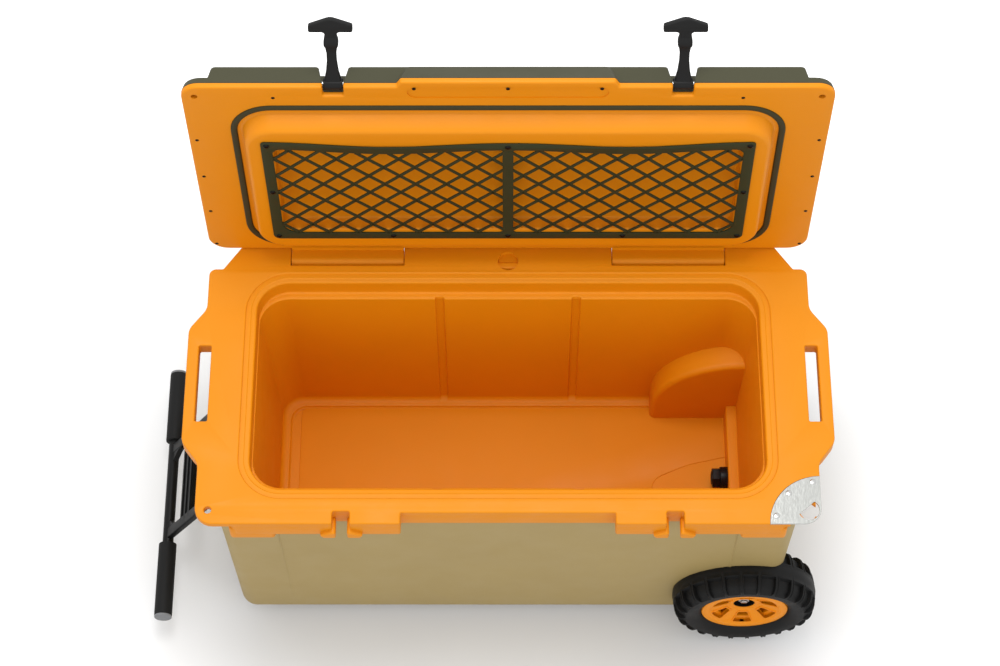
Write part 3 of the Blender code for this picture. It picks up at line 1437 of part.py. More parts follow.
def make_drain():
    """Threaded drain with an inner nut and an outer screw cap on its seal."""
    z = cavity_floor + drain_rise
    recess_face = shell_half_length - shell_draft_x - drain_recess_depth
    nut_face = step_face - seat_gap
    seat = add_empty("drain_axis", root, (recess_face, drain_y, z), (0.0, pi / 2, 0.0))
    flange_low = seat_gap
    flange_high = flange_low + drain_flange
    inner_end = nut_face - drain_nut_length - drain_flange / 4 - recess_face
    turned_object("drain_body", [
        (drain_bore_radius, flange_high + drain_neck), (drain_tube_radius, flange_high + drain_neck),
        (drain_tube_radius, flange_high), (drain_flange_radius, flange_high),
        (drain_flange_radius, flange_low), (drain_tube_radius, flange_low),
        (drain_tube_radius, inner_end), (drain_bore_radius, inner_end)],
        round_steps, seat, black_plastic)
    nut_low = nut_face - drain_nut_length - recess_face
    nut_high = nut_face - recess_face
    nut = add_part("drain_nut", solids_mesh("drain_nut", [rod(
        (0.0, 0.0, nut_low), (0.0, 0.0, nut_high), drain_nut_radius, 6)]), seat, black_plastic)
    bore = rod((0.0, 0.0, nut_low - overrun), (0.0, 0.0, nut_high + overrun), drain_hole_radius)
    cut(nut, add_cutter("drain_nut_bore", solids_mesh("drain_nut_bore", [bore]), seat))
    seal_low = flange_high + seat_gap
    seal_high = seal_low + drain_seal_thickness
    turned_object("drain_seal", [
        (drain_hole_radius, seal_high), (drain_cap_radius, seal_high),
        (drain_cap_radius, seal_low), (drain_hole_radius, seal_low)],
        round_steps, seat, black_rubber)
    cap_low = seal_high + seat_gap
    cap_high = cap_low + drain_cap_length
    outline = []
    for index in range(2 * drain_cap_ribs):
        radius = drain_cap_radius + (drain_cap_rib if index % 2 else 0.0)
        for share in drain_cap_rib_shares:
            turn = pi * (index + share) / drain_cap_ribs
            outline.append((radius * cos(turn), radius * sin(turn)))
    cap = add_part("drain_cap", prism_mesh("drain_cap", outline, cap_low, cap_high),
                   seat, black_plastic)
    inside = rod((0.0, 0.0, cap_low - overrun), (0.0, 0.0, cap_high - drain_cap_wall),
                 drain_hole_radius)
    cut(cap, add_cutter("drain_cap_inside", solids_mesh("drain_cap_inside", [inside]), seat))


def shade_parts():
    """Shade every part smooth, but for the edges sharper than the crease angle."""
    group = bpy.data.node_groups.new("smooth_by_angle", "GeometryNodeTree")
    group.interface.new_socket("Geometry", in_out="INPUT", socket_type="NodeSocketGeometry")
    group.interface.new_socket("Geometry", in_out="OUTPUT", socket_type="NodeSocketGeometry")
    start = group.nodes.new("NodeGroupInput")
    angle = group.nodes.new("GeometryNodeInputMeshEdgeAngle")
    blunt = group.nodes.new("FunctionNodeCompare")
    blunt.operation = "LESS_THAN"
    blunt.inputs["B"].default_value = radians(crease_angle)
    faces = group.nodes.new("GeometryNodeSetShadeSmooth")
    edges = group.nodes.new("GeometryNodeSetShadeSmooth")
    edges.domain = "EDGE"
    end = group.nodes.new("NodeGroupOutput")
    for output, entry in ((start.outputs["Geometry"], faces.inputs["Geometry"]),
                          (faces.outputs["Geometry"], edges.inputs["Geometry"]),
                          (angle.outputs["Unsigned Angle"], blunt.inputs["A"]),
                          (blunt.outputs["Result"], edges.inputs["Shade Smooth"]),
                          (edges.outputs["Geometry"], end.inputs["Geometry"])):
        group.links.new(output, entry)
    for item in parts.objects:
        if item.type == "MESH":
            item.modifiers.new("smooth_by_angle", "NODES").node_group = group


def stand_on_origin():
    """Move the cooler so that the bottom centre of its bounding box is the origin."""
    bpy.context.view_layer.update()
    graph = bpy.context.evaluated_depsgraph_get()
    corners = []
    for item in parts.objects:
        if item.type == "MESH":
            mesh = item.evaluated_get(graph).to_mesh()
            corners += [item.matrix_world @ vertex.co for vertex in mesh.vertices]
    low = Vector([min(corner[axis] for corner in corners) for axis in range(3)])
    high = Vector([max(corner[axis] for corner in corners) for axis in range(3)])
    root.location = (-(low.x + high.x) / 2, -(low.y + high.y) / 2, -low.z)


clear_scene()
parts = make_collection("wheeled_cooler")
cutters = make_collection("wheeled_cooler_cutters")
tan_plastic = make_material("tan_plastic", (0.45, 0.35, 0.17), 0.45)
orange_plastic = make_material("orange_plastic", (1.0, 0.32, 0.03), 0.42)
olive_plastic = make_material("olive_plastic", (0.10, 0.10, 0.055), 0.5)
dark_olive_rubber = make_material("dark_olive_rubber", (0.06, 0.055, 0.03), 0.7)
foam_white = make_material("foam_white", (0.85, 0.83, 0.76), 0.9)
black_plastic = make_material("black_plastic", (0.012, 0.012, 0.013), 0.4)
black_rubber = make_material("black_rubber", (0.010, 0.010, 0.011), 0.6)
tyre_rubber = make_material("tyre_rubber", (0.012, 0.012, 0.012), 0.7)
grey_plastic = make_material("grey_plastic", (0.16, 0.16, 0.16), 0.45)
bare_steel = make_material("bare_steel", (0.75, 0.75, 0.75), 0.3, 1.0)
dark_steel = make_material("dark_steel", (0.2, 0.2, 0.2), 0.35, 1.0)
root = add_empty("cooler_root")
lid_hinge = add_empty("lid_hinge", root, (0.0, hinge_y, hinge_z), (-radians(lid_open_angle), 0, 0))
lid_frame = add_empty("lid_frame", lid_hinge, (0.0, -hinge_y, -hinge_z))
make_outer_shell()
make_body_foam()
make_liner_and_rim()
make_opener()
make_hinge_pin()
make_lid_shell()
make_lid_foam()
make_lid_liner()
make_gasket()
make_cargo_net()
make_latch(-1, "left")
make_latch(1, "right")
make_tow_bracket()
make_tow_handle()
wheel_middle = wheel_front + tyre_width / 2
make_wheel("front", wheel_middle, pi / 2)
make_wheel("rear", 2 * wheel_mid_y - wheel_middle, -pi / 2)
make_feet()
make_drain()
shade_parts()
stand_on_origin()
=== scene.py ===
"""Wheeled hard cooler standing open: tan insulated tub with an orange liner and rim, olive lid with
a cargo net, rubber T latches, tow handle, lugged wheels, drain and bottle opener."""
import bmesh
import bpy
import numpy as np
from math import acos, atan2, cos, pi, radians, sin, sqrt, tan
from mathutils import Matrix, Vector


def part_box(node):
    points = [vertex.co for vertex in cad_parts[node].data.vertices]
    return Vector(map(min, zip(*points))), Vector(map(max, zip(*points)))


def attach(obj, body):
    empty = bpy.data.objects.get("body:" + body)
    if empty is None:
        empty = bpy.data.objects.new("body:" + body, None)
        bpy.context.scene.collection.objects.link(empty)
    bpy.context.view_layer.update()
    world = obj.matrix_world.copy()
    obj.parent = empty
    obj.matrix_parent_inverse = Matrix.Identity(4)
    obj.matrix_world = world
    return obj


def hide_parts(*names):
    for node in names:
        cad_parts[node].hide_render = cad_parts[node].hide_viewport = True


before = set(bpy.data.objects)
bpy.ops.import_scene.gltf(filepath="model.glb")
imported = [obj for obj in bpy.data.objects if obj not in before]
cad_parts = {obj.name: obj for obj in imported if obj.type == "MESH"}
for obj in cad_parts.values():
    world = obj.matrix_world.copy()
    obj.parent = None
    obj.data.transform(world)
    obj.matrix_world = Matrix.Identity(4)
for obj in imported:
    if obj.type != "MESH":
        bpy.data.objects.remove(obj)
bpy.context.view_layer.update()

# The place of the cooler. Everything on the tub is drawn from the middle of the rim's front edge,
# with X along the cooler towards the wheels, Y back towards the hinge and Z up from the ground.
# The lid is drawn shut and then swung open about the hinge rod.
rim_low, rim_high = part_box("rim_front")
keeper_reach = 0.006
rim_z = rim_high[2]
stand = Matrix.Translation(((rim_low[0] + rim_high[0]) / 2, rim_low[1] + keeper_reach, 0.0))
hinge_y, hinge_drop, lid_angle = 0.4117, 0.0110, radians(92.0)
hinge_z = rim_z - hinge_drop
swing = (stand @ Matrix.Translation((0.0, hinge_y, hinge_z)) @ Matrix.Rotation(-lid_angle, 4, "X")
         @ Matrix.Translation((0.0, -hinge_y, -hinge_z)))

# The studio: an even white room with a pale paper floor, one broad soft lamp overhead and a weak one
# in front. The camera stands high in front of the cooler and looks down into the tub.
pitch, turn_left, camera_front, camera_rise = radians(62.4227), radians(0.1826), 1.33935, 3.12009
camera_place = stand @ Matrix.Translation((0.0, -camera_front, camera_rise + rim_z))
camera_data = bpy.data.cameras.new("photo_camera")
camera_data.sensor_width = 36.0
camera_data.lens = 90.35
camera_data.clip_end = 50.0


def add_object(name, data):
    """Object in the scene, holding a camera, lamp, curve or mesh."""
    item = bpy.data.objects.new(name, data)
    bpy.context.scene.collection.objects.link(item)
    return item


camera = add_object("photo_camera", camera_data)
camera.matrix_world = (camera_place @ Matrix.Rotation(pi / 2 - pitch, 4, "X")
                       @ Matrix.Rotation(turn_left, 4, "Y"))
bpy.context.scene.camera = camera
bpy.context.scene.view_settings.view_transform = "Standard"


def add_node(tree, kind, settings, **inputs):
    """Node with its settings, and its inputs given as values or as sockets to link from."""
    node = tree.nodes.new(kind)
    for name, value in settings.items():
        setattr(node, name, value)
    for name, value in inputs.items():
        socket = node.inputs[int(name[1:])] if name[0] == "_" else node.inputs[name.replace("_", " ")]
        if isinstance(value, bpy.types.NodeSocket):
            tree.links.new(value, socket)
        else:
            socket.default_value = value
    return node


def srgb(code):
    """Linear colour of an sRGB hex value."""
    parts = [int(code[i:i + 2], 16) / 255 for i in (1, 3, 5)]
    return tuple([p / 12.92 if p <= 0.04045 else ((p + 0.055) / 1.055) ** 2.4 for p in parts] + [1.0])


world = bpy.data.worlds.new("white_room")
world.use_nodes = True
world.node_tree.nodes.clear()
rays = add_node(world.node_tree, "ShaderNodeLightPath", {})
seen = add_node(world.node_tree, "ShaderNodeMath", {"operation": "MAXIMUM"},
                _0=rays.outputs["Is Camera Ray"], _1=rays.outputs["Is Transmission Ray"])
room_light = add_node(world.node_tree, "ShaderNodeMix", {"data_type": "FLOAT"},
                      _0=seen.outputs[0], _2=1.05, _3=1.0)
room = add_node(world.node_tree, "ShaderNodeBackground", {}, Color=srgb("#FFFFFF"),
                Strength=room_light.outputs[0])
add_node(world.node_tree, "ShaderNodeOutputWorld", {}, Surface=room.outputs[0])
bpy.context.scene.world = world

for name, stance, target, size, watts in (
        ("overhead_lamp", (-0.1, 0.40, 3.4), (0.0, 0.05, 0.3), (1.2, 1.2), 38.0),
        ("front_lamp", (0.3, -3.3, 1.9), (0.0, 0.0, 0.5), (2.4, 1.2), 8.0)):
    lamp_data = bpy.data.lights.new(name, "AREA")
    lamp_data.shape = "RECTANGLE"
    lamp_data.size, lamp_data.size_y = size
    lamp_data.energy = watts
    lamp = add_object(name, lamp_data)
    aim = Vector(target) - Vector(stance)
    lamp.matrix_world = Matrix.Translation(stance) @ aim.to_track_quat("-Z", "Y").to_matrix().to_4x4()

# Matt white paper. What the camera sees of it glows more the further it lies from the cooler, so that
# the edges of the picture turn white and the shadow stays.
paper = bpy.data.materials.new("white_studio_paper")
paper.use_nodes = True
paper.node_tree.nodes.clear()
rays = add_node(paper.node_tree, "ShaderNodeLightPath", {})
spot = add_node(paper.node_tree, "ShaderNodeTexCoord", {})
away = add_node(paper.node_tree, "ShaderNodeVectorMath", {"operation": "LENGTH"},
                _0=spot.outputs["Object"])
fade = add_node(paper.node_tree, "ShaderNodeMapRange", {"interpolation_type": "SMOOTHSTEP"},
                Value=away.outputs[1], From_Min=0.35, From_Max=1.10, To_Min=0.10, To_Max=0.90)
glow = add_node(paper.node_tree, "ShaderNodeMath", {"operation": "MULTIPLY"},
                _0=rays.outputs["Is Camera Ray"], _1=fade.outputs[0])
sheet = add_node(paper.node_tree, "ShaderNodeBsdfPrincipled", {}, Base_Color=srgb("#D6D6D6"),
                 Roughness=0.6, Emission_Color=srgb("#FFFFFF"), Emission_Strength=glow.outputs[0])
add_node(paper.node_tree, "ShaderNodeOutputMaterial", {}, Surface=sheet.outputs[0])
floor_mesh, floor_half = bpy.data.meshes.new("studio_floor"), 6.0
floor_corners = ((-floor_half, -floor_half), (floor_half, -floor_half), (floor_half, floor_half),
                 (-floor_half, floor_half))
floor_mesh.from_pydata([(x, y, 0) for x, y in floor_corners], [], [(0, 1, 2, 3)])
floor_mesh.materials.append(paper)
add_object("studio_floor", floor_mesh)

# The outer shell is rotationally moulded polyethylene, tan right through, with a drafted tub form,
# wheel arches let into its sides and a shallow panel in its front and back. The mould leaves a
# fine orange-peel grain.
shell_half, shell_front, shell_back, shell_corner = 0.4020, 0.0210, 0.3960, 0.0240
shell_draft = (0.0035, 0.0190)
shell_bottom, shell_height = 0.0270, rim_z - 0.0270
panel_half, bead_width, bead_rise, panel_sink = 0.3170, 0.0032, 0.0022, 0.0004
wheel_x, wheel_radius, wheel_mid = 0.3465, 0.1050, 0.2105
arch_radius, arch_centre, arch_wall = 0.1200, wheel_radius + 0.0030, 0.0710
arch_leg, arch_leg_top, arch_round, touching = 0.1340, 0.0800, 0.0030, 0.0006


def soften(corners, steps=8, closed=True):
    """Points through corners given as (*place, radius), with a true arc at each radius."""
    places = [np.array(corner[:-1], float) for corner in corners]
    points = []
    for index, (place, radius) in enumerate(zip(places, [corner[-1] for corner in corners])):
        if radius <= 0 or (not closed and index in (0, len(places) - 1)):
            points.append(place)
            continue
        before, after = places[index - 1] - place, places[(index + 1) % len(places)] - place
        before_length, after_length = np.linalg.norm(before), np.linalg.norm(after)
        before, after = before / before_length, after / after_length
        half = acos(max(-1.0, min(1.0, float(before @ after)))) / 2
        reach = min(radius / tan(half), 0.499 * before_length, 0.499 * after_length)
        radius = reach * tan(half)
        middle = (before + after) / np.linalg.norm(before + after)
        centre = place + middle * radius / sin(half)
        start = (place + before * reach - centre) / radius
        end = (place + after * reach - centre) / radius
        sweep = acos(max(-1.0, min(1.0, float(start @ end))))
        for step in range(steps + 1):
            share = step / steps
            points.append(centre + radius * (start * sin((1 - share) * sweep)
                                             + end * sin(share * sweep)) / sin(sweep))
    return points


def loft(rings, closed=False):
    """Skin through rings of points that all have the same count, capped unless it closes on itself."""
    shape = bmesh.new()
    rows = [[shape.verts.new(tuple(point)) for point in ring] for ring in rings]
    for near, far in zip(rows, rows[1:] + rows[:1] if closed else rows[1:]):
        for index in range(len(near)):
            shape.faces.new((near[index - 1], near[index], far[index], far[index - 1]))
    if not closed:
        shape.faces.new(list(reversed(rows[0])))
        shape.faces.new(rows[-1])
    bmesh.ops.recalc_face_normals(shape, faces=shape.faces)
    return shape


axes = {"Z": Matrix.Identity(4),
        "Y": Matrix(((1, 0, 0, 0), (0, 0, 1, 0), (0, 1, 0, 0), (0, 0, 0, 1))),
        "X": Matrix(((0, 0, 1, 0), (1, 0, 0, 0), (0, 1, 0, 0), (0, 0, 0, 1)))}


def evaluated_shape(item):
    """Shape of a scratch object after its modifiers, with its doubled points joined."""
    bpy.context.view_layer.update()
    mesh = bpy.data.meshes.new_from_object(item.evaluated_get(bpy.context.evaluated_depsgraph_get()))
    shape = bmesh.new()
    shape.from_mesh(mesh)
    bmesh.ops.remove_doubles(shape, verts=shape.verts, dist=0.00001)
    return shape


def plate(loops, low, high, edge=0.0, steps=2, axis="Z"):
    """Slab across an axis, drawn in the other two, with rounded edges; later loops are holes."""
    drawing = bpy.data.curves.new("drawing", "CURVE")
    drawing.dimensions = "2D"
    drawing.fill_mode = "BOTH"
    drawing.extrude = (high - low) / 2 - edge
    drawing.bevel_depth = edge
    drawing.bevel_resolution = steps - 1
    drawing.offset = -edge
    for loop in loops:
        spline = drawing.splines.new("POLY")
        spline.points.add(len(loop) - 1)
        spline.points.foreach_set("co", [value for x, y in loop for value in (x, y, 0.0, 1.0)])
        spline.use_cyclic_u = True
    item = add_object("drawing", drawing)
    shape = evaluated_shape(item)
    bpy.data.objects.remove(item, do_unlink=True)
    shape.transform(axes[axis] @ Matrix.Translation((0.0, 0.0, (low + high) / 2)))
    bmesh.ops.recalc_face_normals(shape, faces=shape.faces)
    return shape


def box_loop(low_x, high_x, low_y, high_y, radius=0.0, steps=8):
    """Rectangle with rounded corners."""
    return soften([(low_x, low_y, radius), (high_x, low_y, radius), (high_x, high_y, radius),
                   (low_x, high_y, radius)], steps)


def circle(x, y, radius, steps=32):
    """Circle as a loop."""
    return [(x + radius * cos(2 * pi * step / steps), y + radius * sin(2 * pi * step / steps))
            for step in range(steps)]


def build(name, shapes, place, material, body, nodes=(), sharp=35.0):
    """One finished piece from its shapes, riding on a body and standing for CAD nodes."""
    whole = bmesh.new()
    mesh = bpy.data.meshes.new(name)
    for shape in shapes:
        shape.to_mesh(mesh)
        shape.free()
        whole.from_mesh(mesh)
    whole.to_mesh(mesh)
    whole.free()
    mesh.transform(place)
    mesh.materials.clear()
    mesh.materials.append(material)
    mesh.shade_smooth()
    mesh.set_sharp_from_angle(angle=radians(sharp))
    item = add_object(name, mesh)
    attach(item, body)
    if nodes:
        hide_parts(*nodes)


def carve(shape, cutters):
    """Shape with every cutter taken out of it, as a new shape."""
    items = []
    for part in [shape] + cutters:
        mesh = bpy.data.meshes.new("carving")
        part.to_mesh(mesh)
        part.free()
        items.append(add_object("carving", mesh))
    for cutter in items[1:]:
        modifier = items[0].modifiers.new("carving", "BOOLEAN")
        modifier.operation, modifier.solver, modifier.object = "DIFFERENCE", "EXACT", cutter
    result = evaluated_shape(items[0])
    for item in items:
        bpy.data.objects.remove(item, do_unlink=True)
    return result


def blank_material(name):
    """Material with an empty tree and the object's own coordinates in it."""
    material = bpy.data.materials.new(name)
    material.use_nodes = True
    material.node_tree.nodes.clear()
    return material, material.node_tree, add_node(material.node_tree, "ShaderNodeTexCoord", {})


def polyethylene(name, colour, pale, roughness=0.48):
    """Rotomoulded polyethylene: waxy and slightly glossy, with a fine orange-peel grain."""
    material, tree, spot = blank_material(name)
    # Pigment drifts a little over a hand's width.
    drift = add_node(tree, "ShaderNodeTexNoise", {}, Vector=spot.outputs["Object"], Scale=9.0, Detail=2.0)
    tint = add_node(tree, "ShaderNodeMix", {"data_type": "RGBA"}, _0=drift.outputs[0],
                    _6=srgb(colour), _7=srgb(pale))
    # The grain is about 1 mm across, drawn at 1.3 mm so that it shows.
    grain = add_node(tree, "ShaderNodeTexNoise", {}, Vector=spot.outputs["Object"], Scale=760.0,
                     Detail=3.0, Roughness=0.6)
    bump = add_node(tree, "ShaderNodeBump", {}, Strength=0.10, Distance=0.0004, Height=grain.outputs[0])
    # Handling polishes some areas more than others.
    polish = add_node(tree, "ShaderNodeTexNoise", {}, Vector=spot.outputs["Object"], Scale=22.0,
                      Detail=4.0)
    gloss = add_node(tree, "ShaderNodeMapRange", {}, Value=polish.outputs[0], From_Min=0.3, From_Max=0.7,
                     To_Min=roughness - 0.05, To_Max=roughness + 0.06)
    plastic = add_node(tree, "ShaderNodeBsdfPrincipled", {}, Base_Color=tint.outputs[2],
                       Roughness=gloss.outputs[0], IOR=1.5, Specular_IOR_Level=0.25,
                       Normal=bump.outputs[0])
    add_node(tree, "ShaderNodeOutputMaterial", {}, Surface=plastic.outputs[0])
    return material


# Tan right through and dull, so that scuffs hardly show.
tan_polyethylene = polyethylene("tan_rotomoulded_polyethylene", "#A38D5A", "#A9935F")


def shell_ring(height, inset, panel):
    """Plan outline of the shell at a height, with a share of the step round its shallow panels."""
    fall = (rim_z - height) / shell_height
    half = shell_half - shell_draft[0] * fall - inset
    front = shell_front + shell_draft[1] * fall + inset
    back = shell_back - shell_draft[1] * fall - inset
    bead = ((bead_width, 0.0), (bead_width / 2, bead_rise), (0.0, 0.0), (-bead_width, -panel_sink))
    radius, middle = shell_corner - inset, (front + back) / 2
    ring = []
    for along, y, next_y in ((1, front, back), (-1, back, front)):
        ring += [(along * (-panel_half - x), y - along * out * panel) for x, out in bead]
        ring += [(along * (panel_half + x), y - along * out * panel) for x, out in reversed(bead)]
        corner = half * along
        ring += soften([(0.0, y, 0.0), (corner, y, radius), (corner, middle, 0.0)], 10, False)[1:-1]
        ring += soften([(corner, middle, 0.0), (corner, next_y, radius), (0.0, next_y, 0.0)],
                       10, False)[1:-1]
    return [(x, y, height) for x, y in ring]


def arch_loop(radius, centre, low):
    """Arch over a wheel, as an outline in X and Z."""
    arc = [(wheel_x - radius * cos(angle), centre + radius * sin(angle))
           for angle in np.linspace(0, pi, 49)]
    return [(wheel_x + radius, low), (wheel_x - radius, low)] + arc


foot_round, shell_drop, panel_drop, panel_height = 0.0120, 0.0083, 0.0500, 0.3000
levels = [(rim_z - shell_drop, 0.0, 1.0)]
levels += [(rim_z - panel_drop - panel_height * share, 0.0, 1.0 - share) for share in (0.0, 0.5, 1.0)]
levels += [(shell_bottom + foot_round * (1 - sin(angle)), foot_round * (1 - cos(angle)), 0.0)
           for angle in np.linspace(0, pi / 2, 7)]
arches = []
for side in (-1, 1):
    span = sorted((wheel_mid + side * (wheel_mid - arch_wall), wheel_mid + side * 0.3))
    for loop in (arch_loop(arch_radius, arch_centre, -0.02),
                 box_loop(wheel_x - arch_leg, wheel_x, -0.02, arch_leg_top, 0.0100)):
        arches.append(plate([loop], *span, axis="Y"))
shell = loft([shell_ring(*level) for level in levels])
drain_y, drain_z, end_wall = 0.2100, rim_z - 0.3150, shell_half - shell_draft[0]
drain_recess = loft([[(x, drain_y + y, drain_z + z) for y, z in circle(0, 0, radius, 48)] for x, radius in (
    (end_wall - 0.0140, 0.0215), (end_wall - 0.0125, 0.0230), (end_wall - 0.0015, 0.0232),
    (end_wall + 0.0020, 0.0262), (shell_half + 0.01, 0.0400))])
shell = carve(shell, arches + [drain_recess])
arch_rims = [edge for edge in shell.edges if edge.is_manifold and edge.calc_face_angle() > radians(50)
             and all(abs((vertex.co.xz - Vector((wheel_x, arch_centre))).length - arch_radius) < touching
                     or abs(abs(vertex.co.x - wheel_x) - arch_radius) < touching
                     and vertex.co.z < arch_centre for vertex in edge.verts)
             and abs(edge.verts[0].co.y - wheel_mid) > wheel_mid - arch_wall + 0.004]
bmesh.ops.bevel(shell, geom=arch_rims, offset=arch_round, segments=3, affect="EDGES", profile=0.5,
                clamp_overlap=True)

# Inside, the shell is hollow. The tub's form, a little larger than the orange liner that stands in it,
# is cut out of the shell, which keeps a wall round each wheel arch. Foam fills the rest in the real one.
opening_half, opening_front, opening_back, opening_radius = 0.3540, 0.0530, 0.3720, 0.0450
ledge_drop, ledge_width, cavity_depth, floor_lip = 0.0285, 0.0115, 0.3350, 0.0130
bump_radius, bump_centre, bump_face = 0.1310, 0.1400, arch_wall + 0.0310
liner_thick = 0.0030
end_ledge, end_foot = 0.0022, 0.0110


def tub_ring(drop, inset, inset_y=None, radius=None, groove=0.0, back_share=1.0):
    """Plan outline of the tub's inside at a drop below the rim, with its divider grooves."""
    inset_y = inset if inset_y is None else inset_y
    radius = opening_radius - inset if radius is None else radius
    half = opening_half - inset
    front, back = opening_front + inset_y, opening_back - inset_y * back_share
    section = ((-0.0078, 0.0), (-0.0068, 0.10), (-0.0058, 0.50), (-0.0049, 0.90), (-0.0038, 1.0),
               (0.0038, 1.0), (0.0049, 0.90), (0.0058, 0.50), (0.0068, 0.10), (0.0078, 0.0))
    ring = []
    for along, y in ((1, front), (-1, back)):
        ring += [(along * (middle + x), y - along * depth * groove)
                 for middle in (-0.0975, 0.0975) for x, depth in section]
        corner, centre = along * half, (front + back) / 2
        ring += soften([(0.0, y, 0.0), (corner, y, radius), (corner, centre, 0.0)], 12, False)[1:-1]
        ring += soften([(corner, centre, 0.0), (corner, front + back - y, radius),
                        (0.0, front + back - y, 0.0)], 12, False)[1:-1]
    return [(x, y, rim_z - drop) for x, y in ring]


core_gap, zone_gap = 0.0058, 0.0040
core = loft([tub_ring(0.0, -core_gap), tub_ring(ledge_drop, -core_gap),
             tub_ring(ledge_drop + 0.0010, end_ledge - core_gap, ledge_width - core_gap, 0.0440),
             tub_ring(cavity_depth + core_gap, end_foot - core_gap, 0.0215 - core_gap, 0.0400)])
zones = [plate([arch_loop(bump_radius - zone_gap, bump_centre, 0.0)], *span, axis="Y")
         for span in ((-0.1, bump_face - zone_gap), (2 * wheel_mid - bump_face + zone_gap, 0.6))]
shell = carve(shell, [carve(core, zones)])
build("outer_tub_shell", [shell], stand, tan_polyethylene, "tub", ["outer_shell"])

# The tub's liner and its rim are one orange polyethylene moulding: a cavity with a ledge, divider
# grooves, a drain step and two wheel bumps, and a rim with carry handles, a deep skirt, keepers for
# the latches and hinge knuckles. Every edge is a soft moulded radius.
rim_half, rim_edge, plate_thick, skirt_half, skirt_drop = 0.4245, 0.0020, 0.0115, 0.3800, 0.0385
latch_x, latch_notch, notch_depth, flush = 0.2265, 0.0240, 0.0190, 0.0001
lip_half, lip_depth, handle_thick, carry_half = 0.1460, 0.0165, 0.0240, 0.4485
carry_front, carry_start, carry_end, carry_back = 0.0905, 0.1225, 0.2970, 0.3290
# A strong orange, which looks deeper inside the tub where the walls light one another.
orange_polyethylene = polyethylene("orange_rotomoulded_polyethylene", "#DC8703", "#E28B05")


def mirrored(half_loop):
    """Closed outline from its right half, given from the front middle round to the back."""
    left = [(-x, y, radius) for x, y, radius in reversed(half_loop)]
    return soften(list(half_loop) + left)


def front_run(inset, corner_x, corner_radius):
    """Front edge of the rim from its middle, with the lip's recess and the latch notch."""
    inner, outer = latch_x - latch_notch / 2 - inset, latch_x + latch_notch / 2 + inset
    return [(lip_half + inset, lip_depth + inset, 0.0020), (lip_half + inset, inset, 0.0030),
            (inner, inset, 0.0025), (inner, notch_depth + inset, 0.0030),
            (outer, notch_depth + inset, 0.0030), (outer, inset, 0.0025),
            (corner_x - inset, inset, corner_radius)]


rim_back, knuckle_gap, knuckle_low, knuckle_high = 0.4290, 0.0122, 0.1478, 0.3092
knuckle_face = hinge_y - knuckle_gap
rim_loop = mirrored(front_run(0.0, rim_half, 0.0240) + [
    (rim_half, carry_front, 0.0250), (carry_half, carry_start, 0.0220), (carry_half, carry_end, 0.0220),
    (rim_half, carry_back, 0.0250), (rim_half, 0.3932, 0.0100), (0.4050, 0.3932, 0.0040),
    (0.3800, rim_back, 0.0030), (knuckle_high, rim_back, 0.0), (knuckle_high, knuckle_face, 0.0010),
    (knuckle_low, knuckle_face, 0.0010), (knuckle_low, rim_back, 0.0)])


def carry_slot(side, grown=0.0):
    """Outline of the hand slot in a carry handle."""
    return box_loop(*sorted((side * (0.4150 - grown), side * (0.4325 + grown))),
                    0.1535 - grown, 0.2710 + grown, 0.0025)


slots = [carry_slot(side) for side in (-1, 1)]
holes = [circle(-0.4070, 0.0205, 0.0050, 24), circle(0.4070, 0.0205, 0.0125, 32)]
landing = [(x, y) for x, y, z in tub_ring(0.0, -0.0150, back_share=0.9)]
opener_radius, opener_thick = 0.0705, 0.0026


def dimple(depth):
    """Shallow round hollow in the middle of the rim's back edge."""
    return loft([[(x, y, rim_z + z) for x, y in circle(0.0, 0.4056, radius, 48)] for radius, z in (
        (0.0118, -depth), (0.0140, 0.0006 - depth), (0.0146, 0.0000), (0.0146, 0.0020))])


def opener_loop(radius, reach=0.0, corner=0.0240):
    """Quarter disc at the rim's front right corner."""
    arc = [(rim_half + radius * cos(angle), radius * sin(angle)) for angle in np.linspace(pi / 2, pi, 33)]
    return [tuple(point) for point in soften([(rim_half - radius, -reach, 0.0),
            (rim_half + reach, -reach, corner), (rim_half + reach, radius, 0.0)], 12)] + arc[1:-1]


# The rim's plate, with its carry slots, padlock holes, the tub's opening, the hollow in its back edge
# and the corner sunk for the opener, which overhangs it in front.
opener_bed = plate([opener_loop(opener_radius + 0.0003, 0.0100, 0.0)], rim_z - opener_thick - 0.0003,
                   rim_z + 0.0100)
corner_cuts = [plate([box_loop(*spans)], rim_z - 0.03, rim_z + 0.01)
               for spans in ((0.3815, 0.46, -0.01, 0.0105), (0.4170, 0.46, -0.01, 0.0450))]
rim = carve(plate([rim_loop] + slots + holes + [landing], rim_z - plate_thick, rim_z, rim_edge, 3),
            [dimple(0.0065), opener_bed] + corner_cuts)

# The skirt under the rim, deeper at its four ends, the carry handles' thicker plates, the keeper ears
# beside each latch slot and the tub's hinge knuckles.
skirt_top = rim_z - 0.0022
front_skirt = mirrored(front_run(flush, skirt_half, 0.0120) + [(skirt_half, 0.0330, 0.0040)])
back_skirt = box_loop(-skirt_half, skirt_half, 0.3945, 0.4060, 0.0040)
pockets = [plate([box_loop(*sorted((side * knuckle_low, side * knuckle_high)), knuckle_face, 0.45)],
                 rim_z - 0.0240, rim_z + 0.01) for side in (-1, 1)]
skirt = [plate([front_skirt], rim_z - skirt_drop, skirt_top, 0.0030, 3),
         carve(plate([back_skirt], rim_z - skirt_drop, skirt_top, 0.0030, 3), pockets)]
for side in (-1, 1):
    for low, high in ((0.0004, 0.0330), (0.3945, 0.4056)):
        end_loop = box_loop(*sorted((side * 0.3175, side * (skirt_half - 0.0003))), low, high, 0.0050)
        skirt.append(plate([end_loop], rim_z - 0.0510, rim_z - 0.0200, 0.0028, 3))
handles = []
